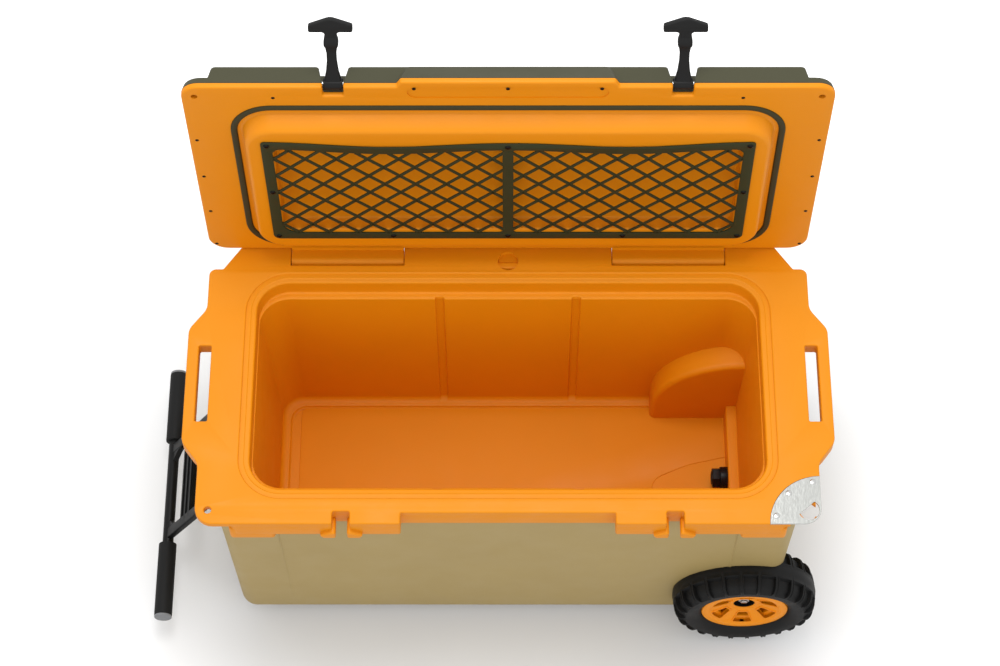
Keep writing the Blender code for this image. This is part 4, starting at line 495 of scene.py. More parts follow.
for side in (-1, 1):
    inner, bend, outer = side * 0.3995, side * (rim_half - flush), side * (carry_half - flush)
    handle_loop = soften([(inner, carry_front + flush, 0.0), (bend, carry_front, 0.0250),
                          (outer, carry_start, 0.0220), (outer, carry_end, 0.0220),
                          (bend, carry_back, 0.0250), (inner, carry_back - flush, 0.0)], 8)
    handles.append(plate([handle_loop, carry_slot(side, flush)], rim_z - handle_thick, skirt_top,
                         0.0030, 3))
ears = []
for side in (-1, 1):
    for hand in (-1, 1):
        inner = side * latch_x + hand * 0.00775
        outer = inner + hand * 0.0220
        low = rim_z - 0.0375
        ear_loop = soften([(inner, low, 0.0030), (outer - hand * 0.0040, low, 0.0030),
                           (outer, low + 0.0080, 0.0030), (inner, low + 0.0200, 0.0040)], 6)
        ears.append(plate([ear_loop], -keeper_reach, 0.0195, 0.0028, 3, axis="Y"))
knuckle_radius = 0.0145
knuckle_loop = [(hinge_y + knuckle_radius * sin(angle), hinge_z + knuckle_radius * cos(angle))
                for angle in np.linspace(radians(62.0), pi, 19)]
knuckle_loop += [(0.3980, hinge_z - knuckle_radius), (0.3980, hinge_z + 0.0068)]
knuckles = [plate([knuckle_loop], low, high, 0.0008, 2, axis="X")
            for low, high in ((-0.3800, -0.3093), (-0.1477, 0.1477), (0.3093, 0.3800))]

# The tub's skin, from its outside up to the landing for the gasket, in over the ledge and down the
# walls to the floor, where the drain end lies a little lower.
wall_foot, grooves, cove = cavity_depth - 0.0040, 0.0040, 0.0090
rows = [tub_ring(cavity_depth + liner_thick, end_foot + 0.0060, 0.0245, 0.0300),
        tub_ring(cavity_depth - 0.0080, end_foot - liner_thick, 0.0215 - liner_thick, 0.0370),
        tub_ring(ledge_drop + liner_thick, end_ledge - liner_thick, 0.0125 - liner_thick, 0.0440),
        tub_ring(ledge_drop + liner_thick, -liner_thick, 0.0010 - liner_thick, 0.0460),
        tub_ring(plate_thick - 0.0020, 0.0 - liner_thick),
        tub_ring(plate_thick - 0.0020, -0.0230, back_share=0.9),
        tub_ring(0.0030, -0.0230, back_share=0.9), tub_ring(0.0022, -0.0220, back_share=0.9),
        tub_ring(0.0022, -0.0086, back_share=0.9), tub_ring(0.0025, -0.0081, back_share=0.9),
        tub_ring(0.0029, -0.0077, back_share=0.9), tub_ring(0.0031, -0.0071, back_share=0.9)]
rows += [tub_ring(0.0031 + 0.0030 * (1 - cos(angle)), -0.0030 + 0.0030 * sin(angle))
         for angle in np.linspace(0, pi / 2, 5)]
rows += [tub_ring(ledge_drop - 0.0025 + 0.0025 * sin(angle), 0.0008,
                  0.0010 + 0.0025 * (1 - cos(angle)), 0.0440) for angle in np.linspace(0, pi / 2, 5)]
rows += [tub_ring(ledge_drop, 0.0012, 0.0060, 0.0430)]
rows += [tub_ring(ledge_drop + 0.0020 * (1 - cos(angle)), end_ledge - 0.0006 + 0.0006 * sin(angle),
                  0.0105 + 0.0020 * sin(angle), 0.0410, grooves) for angle in np.linspace(0, pi / 2, 4)]
rows += [tub_ring(wall_foot - cove * (1 - sin(angle)), end_foot + cove * (1 - cos(angle)),
                  0.0215 + cove * (1 - cos(angle)), 0.0340 - 0.6 * cove * (1 - cos(angle)),
                  grooves * cos(angle)) for angle in np.linspace(0, pi / 2, 7)]
floor_inset, floor_z = 0.0155 + floor_lip, rim_z - cavity_depth
rows += [tub_ring(wall_foot + fall, end_foot + floor_lip + inset, floor_inset + 0.0060 + inset, 0.0240)
         for fall, inset in ((0.0, -0.0012), (0.0004, -0.0004), (0.0034, 0.0010), (0.0040, 0.0020))]
floor_loop = soften([(-0.3150, 0.0780, 0.0200), (0.2165, 0.0780, 0.0), (0.2165, 0.2160, 0.0260),
                     (0.2700, 0.2400, 0.1500), (0.3400, 0.2560, 0.0), (0.3400, 0.3420, 0.0200),
                     (-0.3150, 0.3420, 0.0200)], 10)
sump_drop = 0.0012
rows[0] = [(x, y, z - sump_drop) for x, y, z in rows[0]]
rows += [[(x, y, z - sump_drop) for x, y, z in rows[-1]]]
main_floor = plate([floor_loop], floor_z - 0.0026, floor_z, 0.0010, 3)
bump_zones = [plate([arch_loop(bump_radius - 0.005, bump_centre, 0.0)], *span, axis="Y")
              for span in ((-0.1, bump_face - 0.006), (2 * wheel_mid - bump_face + 0.006, 0.6))]
tub = carve(loft(rows), bump_zones)


bumps, bump_round, bump_end, sunk = [], 0.0085, 0.3480, 0.0020


def bump_ring(y, inset):
    """Outline of a wheel bump across the tub, drawn in by its rounded edge."""
    radius, low = bump_radius - inset, floor_z - sunk
    arc = [(wheel_x + radius * cos(angle), bump_centre + radius * sin(angle))
           for angle in np.linspace(acos((bump_end - wheel_x) / radius), pi, 49)]
    return [(x, y, z) for x, z in [(bump_end, low)] + arc + [(wheel_x - radius, low)]]


for side in (-1, 1):
    back_y, face_edge, wall_y = (wheel_mid + side * (wheel_mid - y) for y in (0.0620, bump_face, arch_wall))
    bump_rows = [bump_ring(back_y, 0.0), bump_ring(face_edge + side * bump_round, 0.0)]
    bump_rows += [bump_ring(face_edge + side * bump_round * (1 - sin(angle)), bump_round * (1 - cos(angle)))
                  for angle in np.linspace(0, pi / 2, 7)[1:]]
    wheel_room = plate([arch_loop(arch_radius + 0.0005, arch_centre, 0.0)],
                       *sorted((wall_y - side * 0.0005, wall_y + side * 0.2)), axis="Y")
    bumps.append(carve(loft(bump_rows), [wheel_room]))
drain_step = plate([box_loop(0.3285, 0.3460, 0.0950, 0.3260, 0.0040)], floor_z - sunk, floor_z + 0.0410,
                   0.0025, 4)
build("tub_liner_and_rim", [rim, tub, main_floor, drain_step] + skirt + handles + ears + knuckles
      + bumps, stand, orange_polyethylene, "tub",
      ["liner_floor", "liner_left_wall", "liner_front_wall", "liner_back_wall", "liner_front_bump",
       "liner_rear_bump", "liner_step", "liner_right_wall", "rim_front", "rim_back", "rim_left",
       "rim_right"], 30.0)

# The hinge rod is a plain steel rod, blackened against rust, pushed through all the knuckles from one
# end. It keeps its CAD shape, since hardly any of it shows.


def metal(name, colour, roughness, grain, scratch=0.02):
    """Bare or blackened metal, with fine scratches along one way where it was brushed."""
    material, tree, spot = blank_material(name)
    stretched = add_node(tree, "ShaderNodeMapping", {}, Vector=spot.outputs["Object"], Scale=grain)
    # Brushing lines lie about 0.5 mm apart and are drawn a little coarser.
    lines = add_node(tree, "ShaderNodeTexNoise", {}, Vector=stretched.outputs[0], Scale=1.0, Detail=3.0)
    gloss = add_node(tree, "ShaderNodeMapRange", {}, Value=lines.outputs[0], From_Min=0.3, From_Max=0.7,
                     To_Min=roughness - 0.06, To_Max=roughness + 0.10)
    bump = add_node(tree, "ShaderNodeBump", {}, Strength=scratch, Distance=0.0002, Height=lines.outputs[0])
    shade = add_node(tree, "ShaderNodeBsdfPrincipled", {}, Base_Color=srgb(colour), Metallic=1.0,
                     Roughness=gloss.outputs[0], Normal=bump.outputs[0])
    add_node(tree, "ShaderNodeOutputMaterial", {}, Surface=shade.outputs[0])
    return material


def refinish(node, material):
    """New material in every slot of a CAD node that stays."""
    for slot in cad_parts[node].material_slots:
        slot.material = material


# Oil-blackened steel: almost black, with a satin shine.
blackened_steel = metal("blackened_steel", "#262624", 0.42, (300.0, 900.0, 900.0))
refinish("hinge_pin", blackened_steel)

# The lid's outer shell is a shallow tray of rotationally moulded olive polyethylene, upside down over
# the foam. It steps down at its front corners, has a lip to lift it by and a notch for each latch.
lid_half, lid_back, lid_notch, lid_notch_depth, lid_lip = 0.4245, 0.3970, 0.0275, 0.0200, 0.0110
pad_x, pad_y, pad_top, lid_top, lid_under = 0.3915, 0.0500, 0.0195, 0.0400, 0.0010
padlock_spots = [circle(side * 0.4070, 0.0205, 0.0045, 24) for side in (-1, 1)]
# Dull olive, greyish where the light falls on it.
olive_polyethylene = polyethylene("olive_rotomoulded_polyethylene", "#3F3E2C", "#464531")


def lid_outline(inset, height=0.0, corner=False):
    """Outline of the lid in plan, with or without its front corners; the lip fades out upwards."""
    share = min(1.0, max(0.05, (lid_top - height) / (lid_top - 0.0081)))
    lip, root = lid_lip * share, 0.1330 + 0.0055 * share
    inner, outer = latch_x - lid_notch / 2 - inset, latch_x + lid_notch / 2 + inset
    half = [(root - inset, inset - lip, 0.0040), (root + 0.0055 - inset, inset, 0.0030),
            (inner, inset, 0.0025), (inner, lid_notch_depth + inset, 0.0030),
            (outer, lid_notch_depth + inset, 0.0030), (outer, inset, 0.0025)]
    if corner:
        half += [(pad_x - inset, inset, 0.0040), (pad_x - inset, pad_y + inset, 0.0060),
                 (lid_half - inset, pad_y + inset, 0.0050)]
    else:
        half += [(lid_half - inset, inset, 0.0240)]
    return mirrored(half + [(lid_half - inset, lid_back - inset, 0.0270)])


def crowned(outline, low, high, taper, radius):
    """Solid that narrows upwards to a rounded top edge, from an outline for each inset."""
    rows = [(low, 0.0008), (low + 0.0008, 0.0), (high - radius, taper)]
    rows += [(high - radius * (1 - sin(angle)), taper + radius * (1 - cos(angle)))
             for angle in np.linspace(0, pi / 2, 6)[1:]]
    return loft([[(x, y, rim_z + height) for x, y in outline(inset, height)] for height, inset in rows])


lid_low = crowned(lid_outline, 0.0081, pad_top, 0.0017, 0.0030)
lid_low = carve(lid_low, [plate([spot], rim_z, rim_z + 0.03) for spot in padlock_spots])
lid_high = crowned(lambda inset, height: lid_outline(inset, height, True), 0.0090, lid_top, 0.0048,
                   0.0060)
build("lid_shell_tray", [lid_low, lid_high], swing, olive_polyethylene, "lid", ["lid_shell"])

# The lid's liner is moulded orange polyethylene, welded to the shell round its edge. It has a broad
# flange with a groove for the gasket, a plug with a pocket let into it, and the lid's hinge knuckles.
plug_half, plug_front, plug_back, plug_radius, plug_drop = 0.3505, 0.0565, 0.3660, 0.0400, 0.0225
pocket_half, pocket_front, pocket_back, pocket_radius = 0.3105, 0.1020, 0.3060, 0.0150
pocket_floor = 0.0035
gasket_inset, gasket_width, gasket_groove = 0.0036, 0.0092, 0.0024


def gasket_loop(offset):
    """Outline at a distance outside the tub's opening."""
    return box_loop(-opening_half - offset, opening_half + offset, opening_front - offset,
                    opening_back + offset, opening_radius + offset, 12)


def plug_ring(drop, share, inset):
    """Outline of the plug at a drop below the rim and a share of its draft."""
    return [(x, y, rim_z - drop) for x, y in box_loop(
        -plug_half + 0.0035 * share + inset, plug_half - 0.0035 * share - inset,
        plug_front + 0.0115 * share + inset, plug_back - 0.0125 * share - inset,
        plug_radius - inset, 12)]


def pocket_ring(drop, inset):
    """Outline of the pocket in the plug."""
    return [(x, y, rim_z - drop) for x, y in box_loop(
        -pocket_half + inset, pocket_half - inset, pocket_front + inset, pocket_back - inset,
        pocket_radius - min(inset, 0.010), 12)]


flange_edge = 0.0028
flange_rows = [(lid_under + flange_edge * (1 - sin(angle)), flange_edge * (1 - cos(angle)))
               for angle in np.linspace(pi / 2, 0, 5)] + [(0.0081, 0.0)]
flange = loft([[(x, y, rim_z + height) for x, y in lid_outline(inset)] for height, inset in flange_rows])
flange = carve(flange, [plate([spot], rim_z - 0.01, rim_z + 0.03) for spot in padlock_spots]
               + [plate([box_loop(-0.1305, 0.1305, -0.0010, 0.0234, 0.0120)], rim_z - 0.01,
                        rim_z + lid_under + 0.0016)]
               + [plate([gasket_loop(gasket_inset + gasket_width), gasket_loop(gasket_inset)],
                        rim_z - 0.01, rim_z + lid_under + gasket_groove)])
plug_foot, plug_brow, pocket_lip, pocket_cove = 0.0030, 0.0055, 0.0030, 0.0040
rings = [plug_ring(-lid_under - plug_foot, 0.0, -plug_foot), plug_ring(-lid_under, 0.0, -plug_foot)]
rings += [plug_ring(-lid_under + plug_foot * (1 - cos(angle)), 0.1, -plug_foot * (1 - sin(angle)))
          for angle in np.linspace(0, pi / 2, 5)[1:]]
rings += [plug_ring(plug_drop - plug_brow * (1 - sin(angle)), 0.75 + 0.25 * sin(angle),
                    plug_brow * (1 - cos(angle))) for angle in np.linspace(0, pi / 2, 6)]
rings += [pocket_ring(plug_drop - pocket_lip * (1 - cos(angle)), -pocket_lip * (1 - sin(angle)))
          for angle in np.linspace(0, pi / 2, 5)]
rings += [pocket_ring(pocket_floor + pocket_cove * (1 - sin(angle)),
                      0.0010 + pocket_cove * (1 - cos(angle))) for angle in np.linspace(0, pi / 2, 5)]
plug = loft(rings)
lid_knuckle, knuckle_top, knuckle_root = 0.0105, rim_z + 0.0080, lid_back - 0.0060
knuckle_profile = [(hinge_y + lid_knuckle * cos(angle), hinge_z - lid_knuckle * sin(angle))
                   for angle in np.linspace(0, pi, 25)]
knuckle_profile += [(hinge_y - lid_knuckle, rim_z + lid_under), (knuckle_root, rim_z + lid_under),
                    (knuckle_root, knuckle_top), (hinge_y + lid_knuckle, knuckle_top)]
lid_knuckles = [plate([knuckle_profile], *sorted((side * 0.1485, side * 0.3085)), 0.0008, 2, axis="X")
                for side in (-1, 1)]
build("lid_liner_moulding", [flange, plug] + lid_knuckles, swing, orange_polyethylene, "lid",
      ["lid_liner"], 30.0)

# The gasket is a soft seal of dark olive rubber, extruded, joined into one ring and pressed into its
# groove round the plug.


def matt_moulding(name, colour, roughness=0.6, grain=1400.0):
    """Matt moulded rubber or nylon with a fine spark-eroded grain, slightly paler where it is worn."""
    material, tree, spot = blank_material(name)
    bloom = add_node(tree, "ShaderNodeTexNoise", {}, Vector=spot.outputs["Object"], Scale=40.0, Detail=4.0)
    base = srgb(colour)
    tint = add_node(tree, "ShaderNodeMix", {"data_type": "RGBA"}, _0=bloom.outputs[0], _6=base,
                    _7=tuple([min(1.0, part * 1.25 + 0.002) for part in base[:3]] + [1.0]))
    # The real grain is about 0.1 mm and is drawn at 0.7 mm so that it shows.
    texture = add_node(tree, "ShaderNodeTexNoise", {}, Vector=spot.outputs["Object"], Scale=grain,
                       Detail=2.0)
    bump = add_node(tree, "ShaderNodeBump", {}, Strength=0.12, Distance=0.0003, Height=texture.outputs[0])
    gloss = add_node(tree, "ShaderNodeMapRange", {}, Value=bloom.outputs[0], From_Min=0.3, From_Max=0.7,
                     To_Min=roughness - 0.06, To_Max=roughness + 0.06)
    shade = add_node(tree, "ShaderNodeBsdfPrincipled", {}, Base_Color=tint.outputs[2],
                     Roughness=gloss.outputs[0], IOR=1.52, Specular_IOR_Level=0.16,
                     Normal=bump.outputs[0])
    add_node(tree, "ShaderNodeOutputMaterial", {}, Surface=shade.outputs[0])
    return material


# Soft extruded rubber: dark olive, with a low sheen.
gasket_rubber = matt_moulding("olive_gasket_rubber", "#35331F", 0.55)
seal = plate([gasket_loop(gasket_inset + gasket_width - 0.0003), gasket_loop(gasket_inset + 0.0003)],
             rim_z - 0.0017, rim_z + 0.0031, 0.0020, 4)
build("lid_gasket_ring", [seal], swing, gasket_rubber, "lid", ["lid_gasket"])

# The cargo net is one flat moulding of soft dark olive rubber: a frame with a wavy front edge, a bar
# across the middle and a lattice of crossed strands, stretched over the pocket and screwed down.
net_half, net_front, net_back, net_border, net_bar = 0.3265, 0.0925, 0.3278, 0.0148, 0.0145
net_top, net_thick, pitch_x, pitch_y, strand_width = 0.0228, 0.0022, 0.0415, 0.0406, 0.0047
net_row, net_fillet = 0.1491, 0.0240
# Stretchy moulded rubber: dark olive and matt.
net_rubber = matt_moulding("olive_net_rubber", "#2C301A", 0.58)


def net_edge(x):
    """Front edge of the net along the lid."""
    return net_front + 0.0100 * sin(pi * abs(x) / net_half) ** 2 - 0.0030 * abs(x) / net_half


def net_loop(low_x, high_x, margin, radius):
    """Outline of the net or one of its windows, with the wave along its front edge."""
    at_low, at_high = (radius if abs(low_x) > 0.1 else 0.006), (radius if abs(high_x) > 0.1 else 0.006)
    wave = [(x, net_edge(x) + margin, 0.0) for x in np.linspace(low_x + at_low, high_x - at_high, 41)]
    wave = ([(low_x, net_edge(low_x) + margin, at_low)] + wave
            + [(high_x, net_edge(high_x) + margin, at_high)])
    return soften(wave + [(high_x, net_back - margin, at_high), (low_x, net_back - margin, at_low)], 8)


windows = [(-net_half + net_border, -net_bar / 2), (net_bar / 2, net_half - net_border)]
net_frame = plate([net_loop(-net_half, net_half, 0.0, 0.0100)]
                  + [net_loop(low, high, net_border, net_fillet) for low, high in windows],
                  rim_z - net_top - net_thick, rim_z - net_top, 0.0006, 2)
# A strand's line runs on a little under the frame. Stubs too short to show in a corner are left out.
strands, under = [], 0.0010
for low, high in windows:
    for slope in (-pitch_y / pitch_x, pitch_y / pitch_x):
        for line in range(-40, 41):
            xs = np.linspace(low - under, high + under, 400)
            ys = net_row + line * pitch_y + slope * xs
            inside = [(x, y) for x, y in zip(xs, ys) if net_edge(x) + net_border - under < y
                      < net_back - net_border + under]
            if len(inside) > 12:
                strands.append((inside[0], inside[-1]))


def grow(name, material, nodes_of, inputs, values, points, edges=()):
    """Mesh that a Geometry Nodes tree makes from points or lines, as a shape ready to build."""
    tree = bpy.data.node_groups.new(name, "GeometryNodeTree")
    tree.interface.new_socket("Geometry", in_out="INPUT", socket_type="NodeSocketGeometry")
    sockets = [tree.interface.new_socket(title, in_out="INPUT", socket_type="NodeSocketFloat")
               for title in inputs]
    finish = tree.interface.new_socket("Finish", in_out="INPUT", socket_type="NodeSocketMaterial")
    tree.interface.new_socket("Geometry", in_out="OUTPUT", socket_type="NodeSocketGeometry")
    start = tree.nodes.new("NodeGroupInput")
    made = nodes_of(tree, start)
    real = add_node(tree, "GeometryNodeRealizeInstances", {}, Geometry=made)
    painted = add_node(tree, "GeometryNodeSetMaterial", {}, Geometry=real.outputs[0],
                       Material=start.outputs["Finish"])
    end = tree.nodes.new("NodeGroupOutput")
    tree.links.new(painted.outputs[0], end.inputs[0])
    seeds = bpy.data.meshes.new(name)
    seeds.from_pydata(points, edges, [])
    item = add_object(name, seeds)
    modifier = item.modifiers.new(name, "NODES")
    modifier.node_group = tree
    for socket, value in zip(sockets, values):
        modifier[socket.identifier] = value
    modifier[finish.identifier] = material
    shape = evaluated_shape(item)
    item.modifiers.remove(modifier)
    bpy.data.objects.remove(item, do_unlink=True)
    bmesh.ops.recalc_face_normals(shape, faces=shape.faces)
    return shape


def strand_nodes(tree, start):
    """Flat strand with rounded edges along every line."""
    paths = add_node(tree, "GeometryNodeMeshToCurve", {}, Mesh=start.outputs["Geometry"])
    section = add_node(tree, "GeometryNodeCurvePrimitiveQuadrilateral", {},
                       Width=start.outputs["Strand Width"], Height=start.outputs["Strand Thickness"])
    rounded = add_node(tree, "GeometryNodeFilletCurve", {"mode": "POLY"}, Curve=section.outputs[0],
                       Count=2, Radius=start.outputs["Edge Radius"])
    strands = add_node(tree, "GeometryNodeCurveToMesh", {}, Curve=paths.outputs[0],
                       Profile_Curve=rounded.outputs[0], Fill_Caps=True)
    return strands.outputs[0]


middle_z = rim_z - net_top - net_thick / 2
line_points = [(x, y, middle_z) for ends in strands for x, y in ends]
lattice = grow("net_lattice", net_rubber, strand_nodes, ["Strand Width", "Strand Thickness", "Edge Radius"],
               [strand_width, net_thick - 0.0002, 0.0006], line_points,
               [(index, index + 1) for index in range(0, len(line_points), 2)])
build("cargo_net_lattice", [net_frame, lattice], swing, net_rubber, "lid", ["cargo_net"])

# Small pan-head screws of blackened steel, with a cross recess, hold the net down, and longer ones sit
# in dimples round the lid's underside. They are driven in from below.


def screw_nodes(tree, start):
    """Domed head with a cross cut into it on every point."""
    head = add_node(tree, "GeometryNodeMeshUVSphere", {}, Segments=24, Rings=16,
                    Radius=start.outputs["Head Radius"])
    flat = add_node(tree, "ShaderNodeCombineXYZ", {}, X=1.0, Y=1.0, Z=start.outputs["Head Rise"])
    dome = add_node(tree, "GeometryNodeTransform", {}, Geometry=head.outputs[0], Scale=flat.outputs[0])
    bars = []
    for turn in (0.0, pi / 2):
        size = add_node(tree, "ShaderNodeCombineXYZ", {}, X=start.outputs["Cross Length"],
                        Y=start.outputs["Cross Width"], Z=start.outputs["Cross Length"])
        bar = add_node(tree, "GeometryNodeMeshCube", {}, Size=size.outputs[0])
        drop = add_node(tree, "ShaderNodeMath", {"operation": "MULTIPLY"},
                        _0=start.outputs["Cross Length"], _1=-0.72)
        place = add_node(tree, "ShaderNodeCombineXYZ", {}, Z=drop.outputs[0])
        bars.append(add_node(tree, "GeometryNodeTransform", {}, Geometry=bar.outputs[0],
                             Translation=place.outputs[0], Rotation=(0.0, 0.0, turn)))
    cut = add_node(tree, "GeometryNodeMeshBoolean", {"operation": "DIFFERENCE"}, _0=dome.outputs[0])
    for bar in bars:
        tree.links.new(bar.outputs[0], cut.inputs[1])
    placed = add_node(tree, "GeometryNodeInstanceOnPoints", {}, Points=start.outputs["Geometry"],
                      Instance=cut.outputs[0])
    return placed.outputs[0]


screw_inputs = ["Head Radius", "Head Rise", "Cross Length", "Cross Width"]
side_x, front_y = net_half - net_border / 2, net_front + net_border / 2
net_spots = [(side * side_x, net_edge(side_x) + net_border / 2) for side in (-1, 1)]
net_spots += [(side * side_x, (net_edge(side_x) + net_back) / 2) for side in (-1, 1)]
net_spots += [(x, net_back - net_border / 2) for x in (-side_x, -side_x / 2, 0.0, side_x / 2, side_x)]
net_spots.append((0.0, front_y))
net_screws = grow("net_screw_heads", blackened_steel, screw_nodes, screw_inputs,
                  [0.0042, 0.45, 0.0044, 0.0009],
                  [(x, y, rim_z - net_top - net_thick) for x, y in net_spots])
build("net_screws", [net_screws], swing, blackened_steel, "lid",
      ["net_screw_" + str(number) for number in range(1, 11)])
lid_spots = [(side * 0.3050, 0.0233) for side in (-1, 1)]
lid_spots += [(side * 0.4139, y) for side in (-1, 1) for y in (0.121, 0.209, 0.297, 0.383)]
lid_spots += [(side * x, 0.3850) for side in (-1, 1) for x in (0.1320, 0.3200)]
lid_spots += [(0.0, 0.0035), (-0.1215, 0.0035), (0.1215, 0.0035)]
lid_screws = grow("lid_screw_heads", blackened_steel, screw_nodes, screw_inputs,
                  [0.0026, 0.40, 0.0030, 0.0007],
                  [(x, y, rim_z + lid_under + 0.0002) for x, y in lid_spots])
build("lid_screws", [lid_screws], swing, blackened_steel, "lid", ())

# Each T latch is one moulding of black rubber: a barrel round its steel pin, a strap that stretches,
# a bulge that hooks under the keeper ears and a T to pull it by. It hangs back over the open lid.
pin_y, pin_rise, hang = 0.0100, 0.0140, radians(-112.0)
# Tough natural rubber: black, with soft highlights along its edges.
latch_rubber = matt_moulding("black_latch_rubber", "#151515", 0.5)


def strap_ring(z, width, thick, edge=0.0022):
    """Rounded section of the strap at a distance below the pin."""
    return [(x, y, z) for x, y in box_loop(-width / 2, width / 2, -thick / 2, thick / 2,
                                           min(edge, thick * 0.45, width * 0.45), 5)]


for side, name in ((-1, "left"), (1, "right")):
    place = (swing @ Matrix.Translation((side * latch_x, pin_y, rim_z + pin_rise))
             @ Matrix.Rotation(hang, 4, "X"))
    strap = loft([strap_ring(z, width, thick) for z, width, thick in (
        (-0.0030, 0.0235, 0.0100), (-0.0080, 0.0215, 0.0090), (-0.0200, 0.0165, 0.0075),
        (-0.0360, 0.0132, 0.0070), (-0.0480, 0.0130, 0.0072), (-0.0560, 0.0155, 0.0090),
        (-0.0590, 0.0180, 0.0120), (-0.0610, 0.0190, 0.0130), (-0.0665, 0.0188, 0.0130),
        (-0.0690, 0.0180, 0.0110), (-0.0720, 0.0168, 0.0088), (-0.0780, 0.0150, 0.0082),
        (-0.0860, 0.0150, 0.0080))])
    grip_loop = soften([(0.0074, -0.0700, 0.0), (0.0074, -0.0795, 0.0060), (0.0285, -0.0795, 0.0028),
                        (0.0285, -0.0895, 0.0032), (0.0000, -0.1000, 0.0160),
                        (-0.0285, -0.0895, 0.0032), (-0.0285, -0.0795, 0.0028),
                        (-0.0074, -0.0795, 0.0060), (-0.0074, -0.0700, 0.0)], 8)
    grip = plate([grip_loop], -0.0045, 0.0045, 0.0020, 4, axis="Y")
    barrel = plate([circle(0.0, 0.0, 0.0075, 40), circle(0.0, 0.0, 0.0034, 24)], -0.01275, 0.01275, 0.0008,
                   3, axis="X")
    build("t_latch_" + name, [strap, grip, barrel], place, latch_rubber, name + "_latch",
          ["latch_" + name], 40.0)

# The tow handle is a yoke of black glass-filled nylon that swings up from its bracket on the end
# wall: two arms, a ribbed panel between them and a bar with two rubber grips and grey end caps.
tow_y, pivot_x, pivot_z, bar_x, bar_z = 0.2150, 0.4120, 0.3450, 0.5130, 0.0540
bar_radius, arm_at, arm_width, arm_thick = 0.0082, 0.0700, 0.0160, 0.0100
eye_radius, tow_pin_radius, bar_reach, grip_radius, cap_radius = 0.0100, 0.0044, 0.1995, 0.0133, 0.0130
knots = [(-pivot_x, pivot_z, 0.0), (-0.4130, 0.2250, 0.1500), (-0.4650, 0.1350, 0.2000),
         (-bar_x, bar_z, 0.0)]
arm_line = [Vector((point[0], point[1])) for point in soften(knots, 10, False)]
# The nylon is black with a little gloss, the grips' rubber is matt and the end caps are grey plastic.
black_nylon = matt_moulding("black_moulded_nylon", "#101010", 0.38, 1100.0)
grip_rubber = matt_moulding("black_grip_rubber", "#161616", 0.6)
grey_cap = matt_moulding("grey_cap_plastic", "#77787A", 0.4)


def arm_section(index, half_y, half_out, edge):
    """Rounded section across the arm's line at one of its points."""
    here = arm_line[index]
    ahead = arm_line[min(index + 1, len(arm_line) - 1)] - arm_line[max(index - 1, 0)]
    across = Vector((ahead.y, -ahead.x)).normalized()
    return [(here.x + across.x * out, y, here.y + across.y * out)
            for y, out in box_loop(-half_y, half_y, -half_out, half_out, edge, 4)]


def on_web(reach, y, out):
    """Place on the web between the arms, at a distance from the bar, along it and off its plane."""
    start, end = Vector((-bar_x, bar_z)), Vector(knots[2][:2])
    way = (end - start).normalized()
    spot = start + way * reach + Vector((way.y, -way.x)) * out
    return (spot.x, tow_y + y, spot.y)


yoke = []
for side in (-1, 1):
    arm = loft([arm_section(index, arm_width / 2, arm_thick / 2, 0.0020) for index in range(len(arm_line))])
    bmesh.ops.translate(arm, verts=arm.verts, vec=(0.0, tow_y + side * arm_at, 0.0))
    pin_hole = circle(-pivot_x, pivot_z, tow_pin_radius, 24)
    eye = plate([circle(-pivot_x, pivot_z, eye_radius, 32), pin_hole],
                tow_y + side * arm_at - arm_width / 2, tow_y + side * arm_at + arm_width / 2,
                0.0010, 2, axis="Y")
    yoke.append(carve(arm, [plate([pin_hole], -0.1, 0.6, axis="Y")]))
    yoke.append(eye)
    fillet = soften([(-0.004, arm_at - 0.030, 0.0), (0.026, arm_at - 0.008, 0.0200),
                     (0.060, arm_at - 0.008, 0.0), (0.060, arm_at, 0.0), (-0.004, arm_at, 0.0)], 8)
    gusset = loft([[on_web(reach, side * y, out) for reach, y in fillet] for out in (-0.0040, 0.0040)])
    bmesh.ops.recalc_face_normals(gusset, faces=gusset.faces)
    yoke.append(gusset)
half_panel = arm_at + arm_width / 2
panel_loop = box_loop(0.0520, 0.0860, -half_panel + 0.002, half_panel - 0.002, 0.0030)
yoke.append(loft([[on_web(reach, y, out) for reach, y in panel_loop] for out in (-0.0030, 0.0030)]))
for reach in (0.0545, 0.0680, 0.0820):
    web_rib = box_loop(reach - 0.0018, reach + 0.0018, -arm_at, arm_at, 0.0015)
    yoke.append(loft([[on_web(*spot, out) for spot in web_rib] for out in (-0.0050, 0.0050)]))
yoke.append(plate([circle(-bar_x, bar_z, bar_radius, 40)], tow_y - bar_reach, tow_y + bar_reach,
                  0.0010, 2, axis="Y"))
build("tow_yoke_moulding", yoke, stand, black_nylon, "tow_handle", ["tow_yoke"], 40.0)
for side, name in ((-1, "front"), (1, "rear")):
    outer, inner = tow_y + side * 0.2000, tow_y + side * 0.0850
    sleeve = plate([circle(-bar_x, bar_z, grip_radius, 48)], *sorted((inner, outer)), 0.0012, 3, axis="Y")
    build("grip_sleeve_" + name, [sleeve], stand, grip_rubber, "tow_handle", ["grip_" + name],
          40.0)
    cap = plate([circle(-bar_x, bar_z, cap_radius, 48)],
                *sorted((outer - side * 0.0005, outer + side * 0.0035)), 0.0014, 4, axis="Y")
    build("grip_end_cap_" + name, [cap], stand, grey_cap, "tow_handle", ["grip_cap_" + name],
          40.0)
refinish("tow_bracket", black_nylon)
for node in ("tow_pin_front", "tow_pin_rear"):
    refinish(node, blackened_steel)

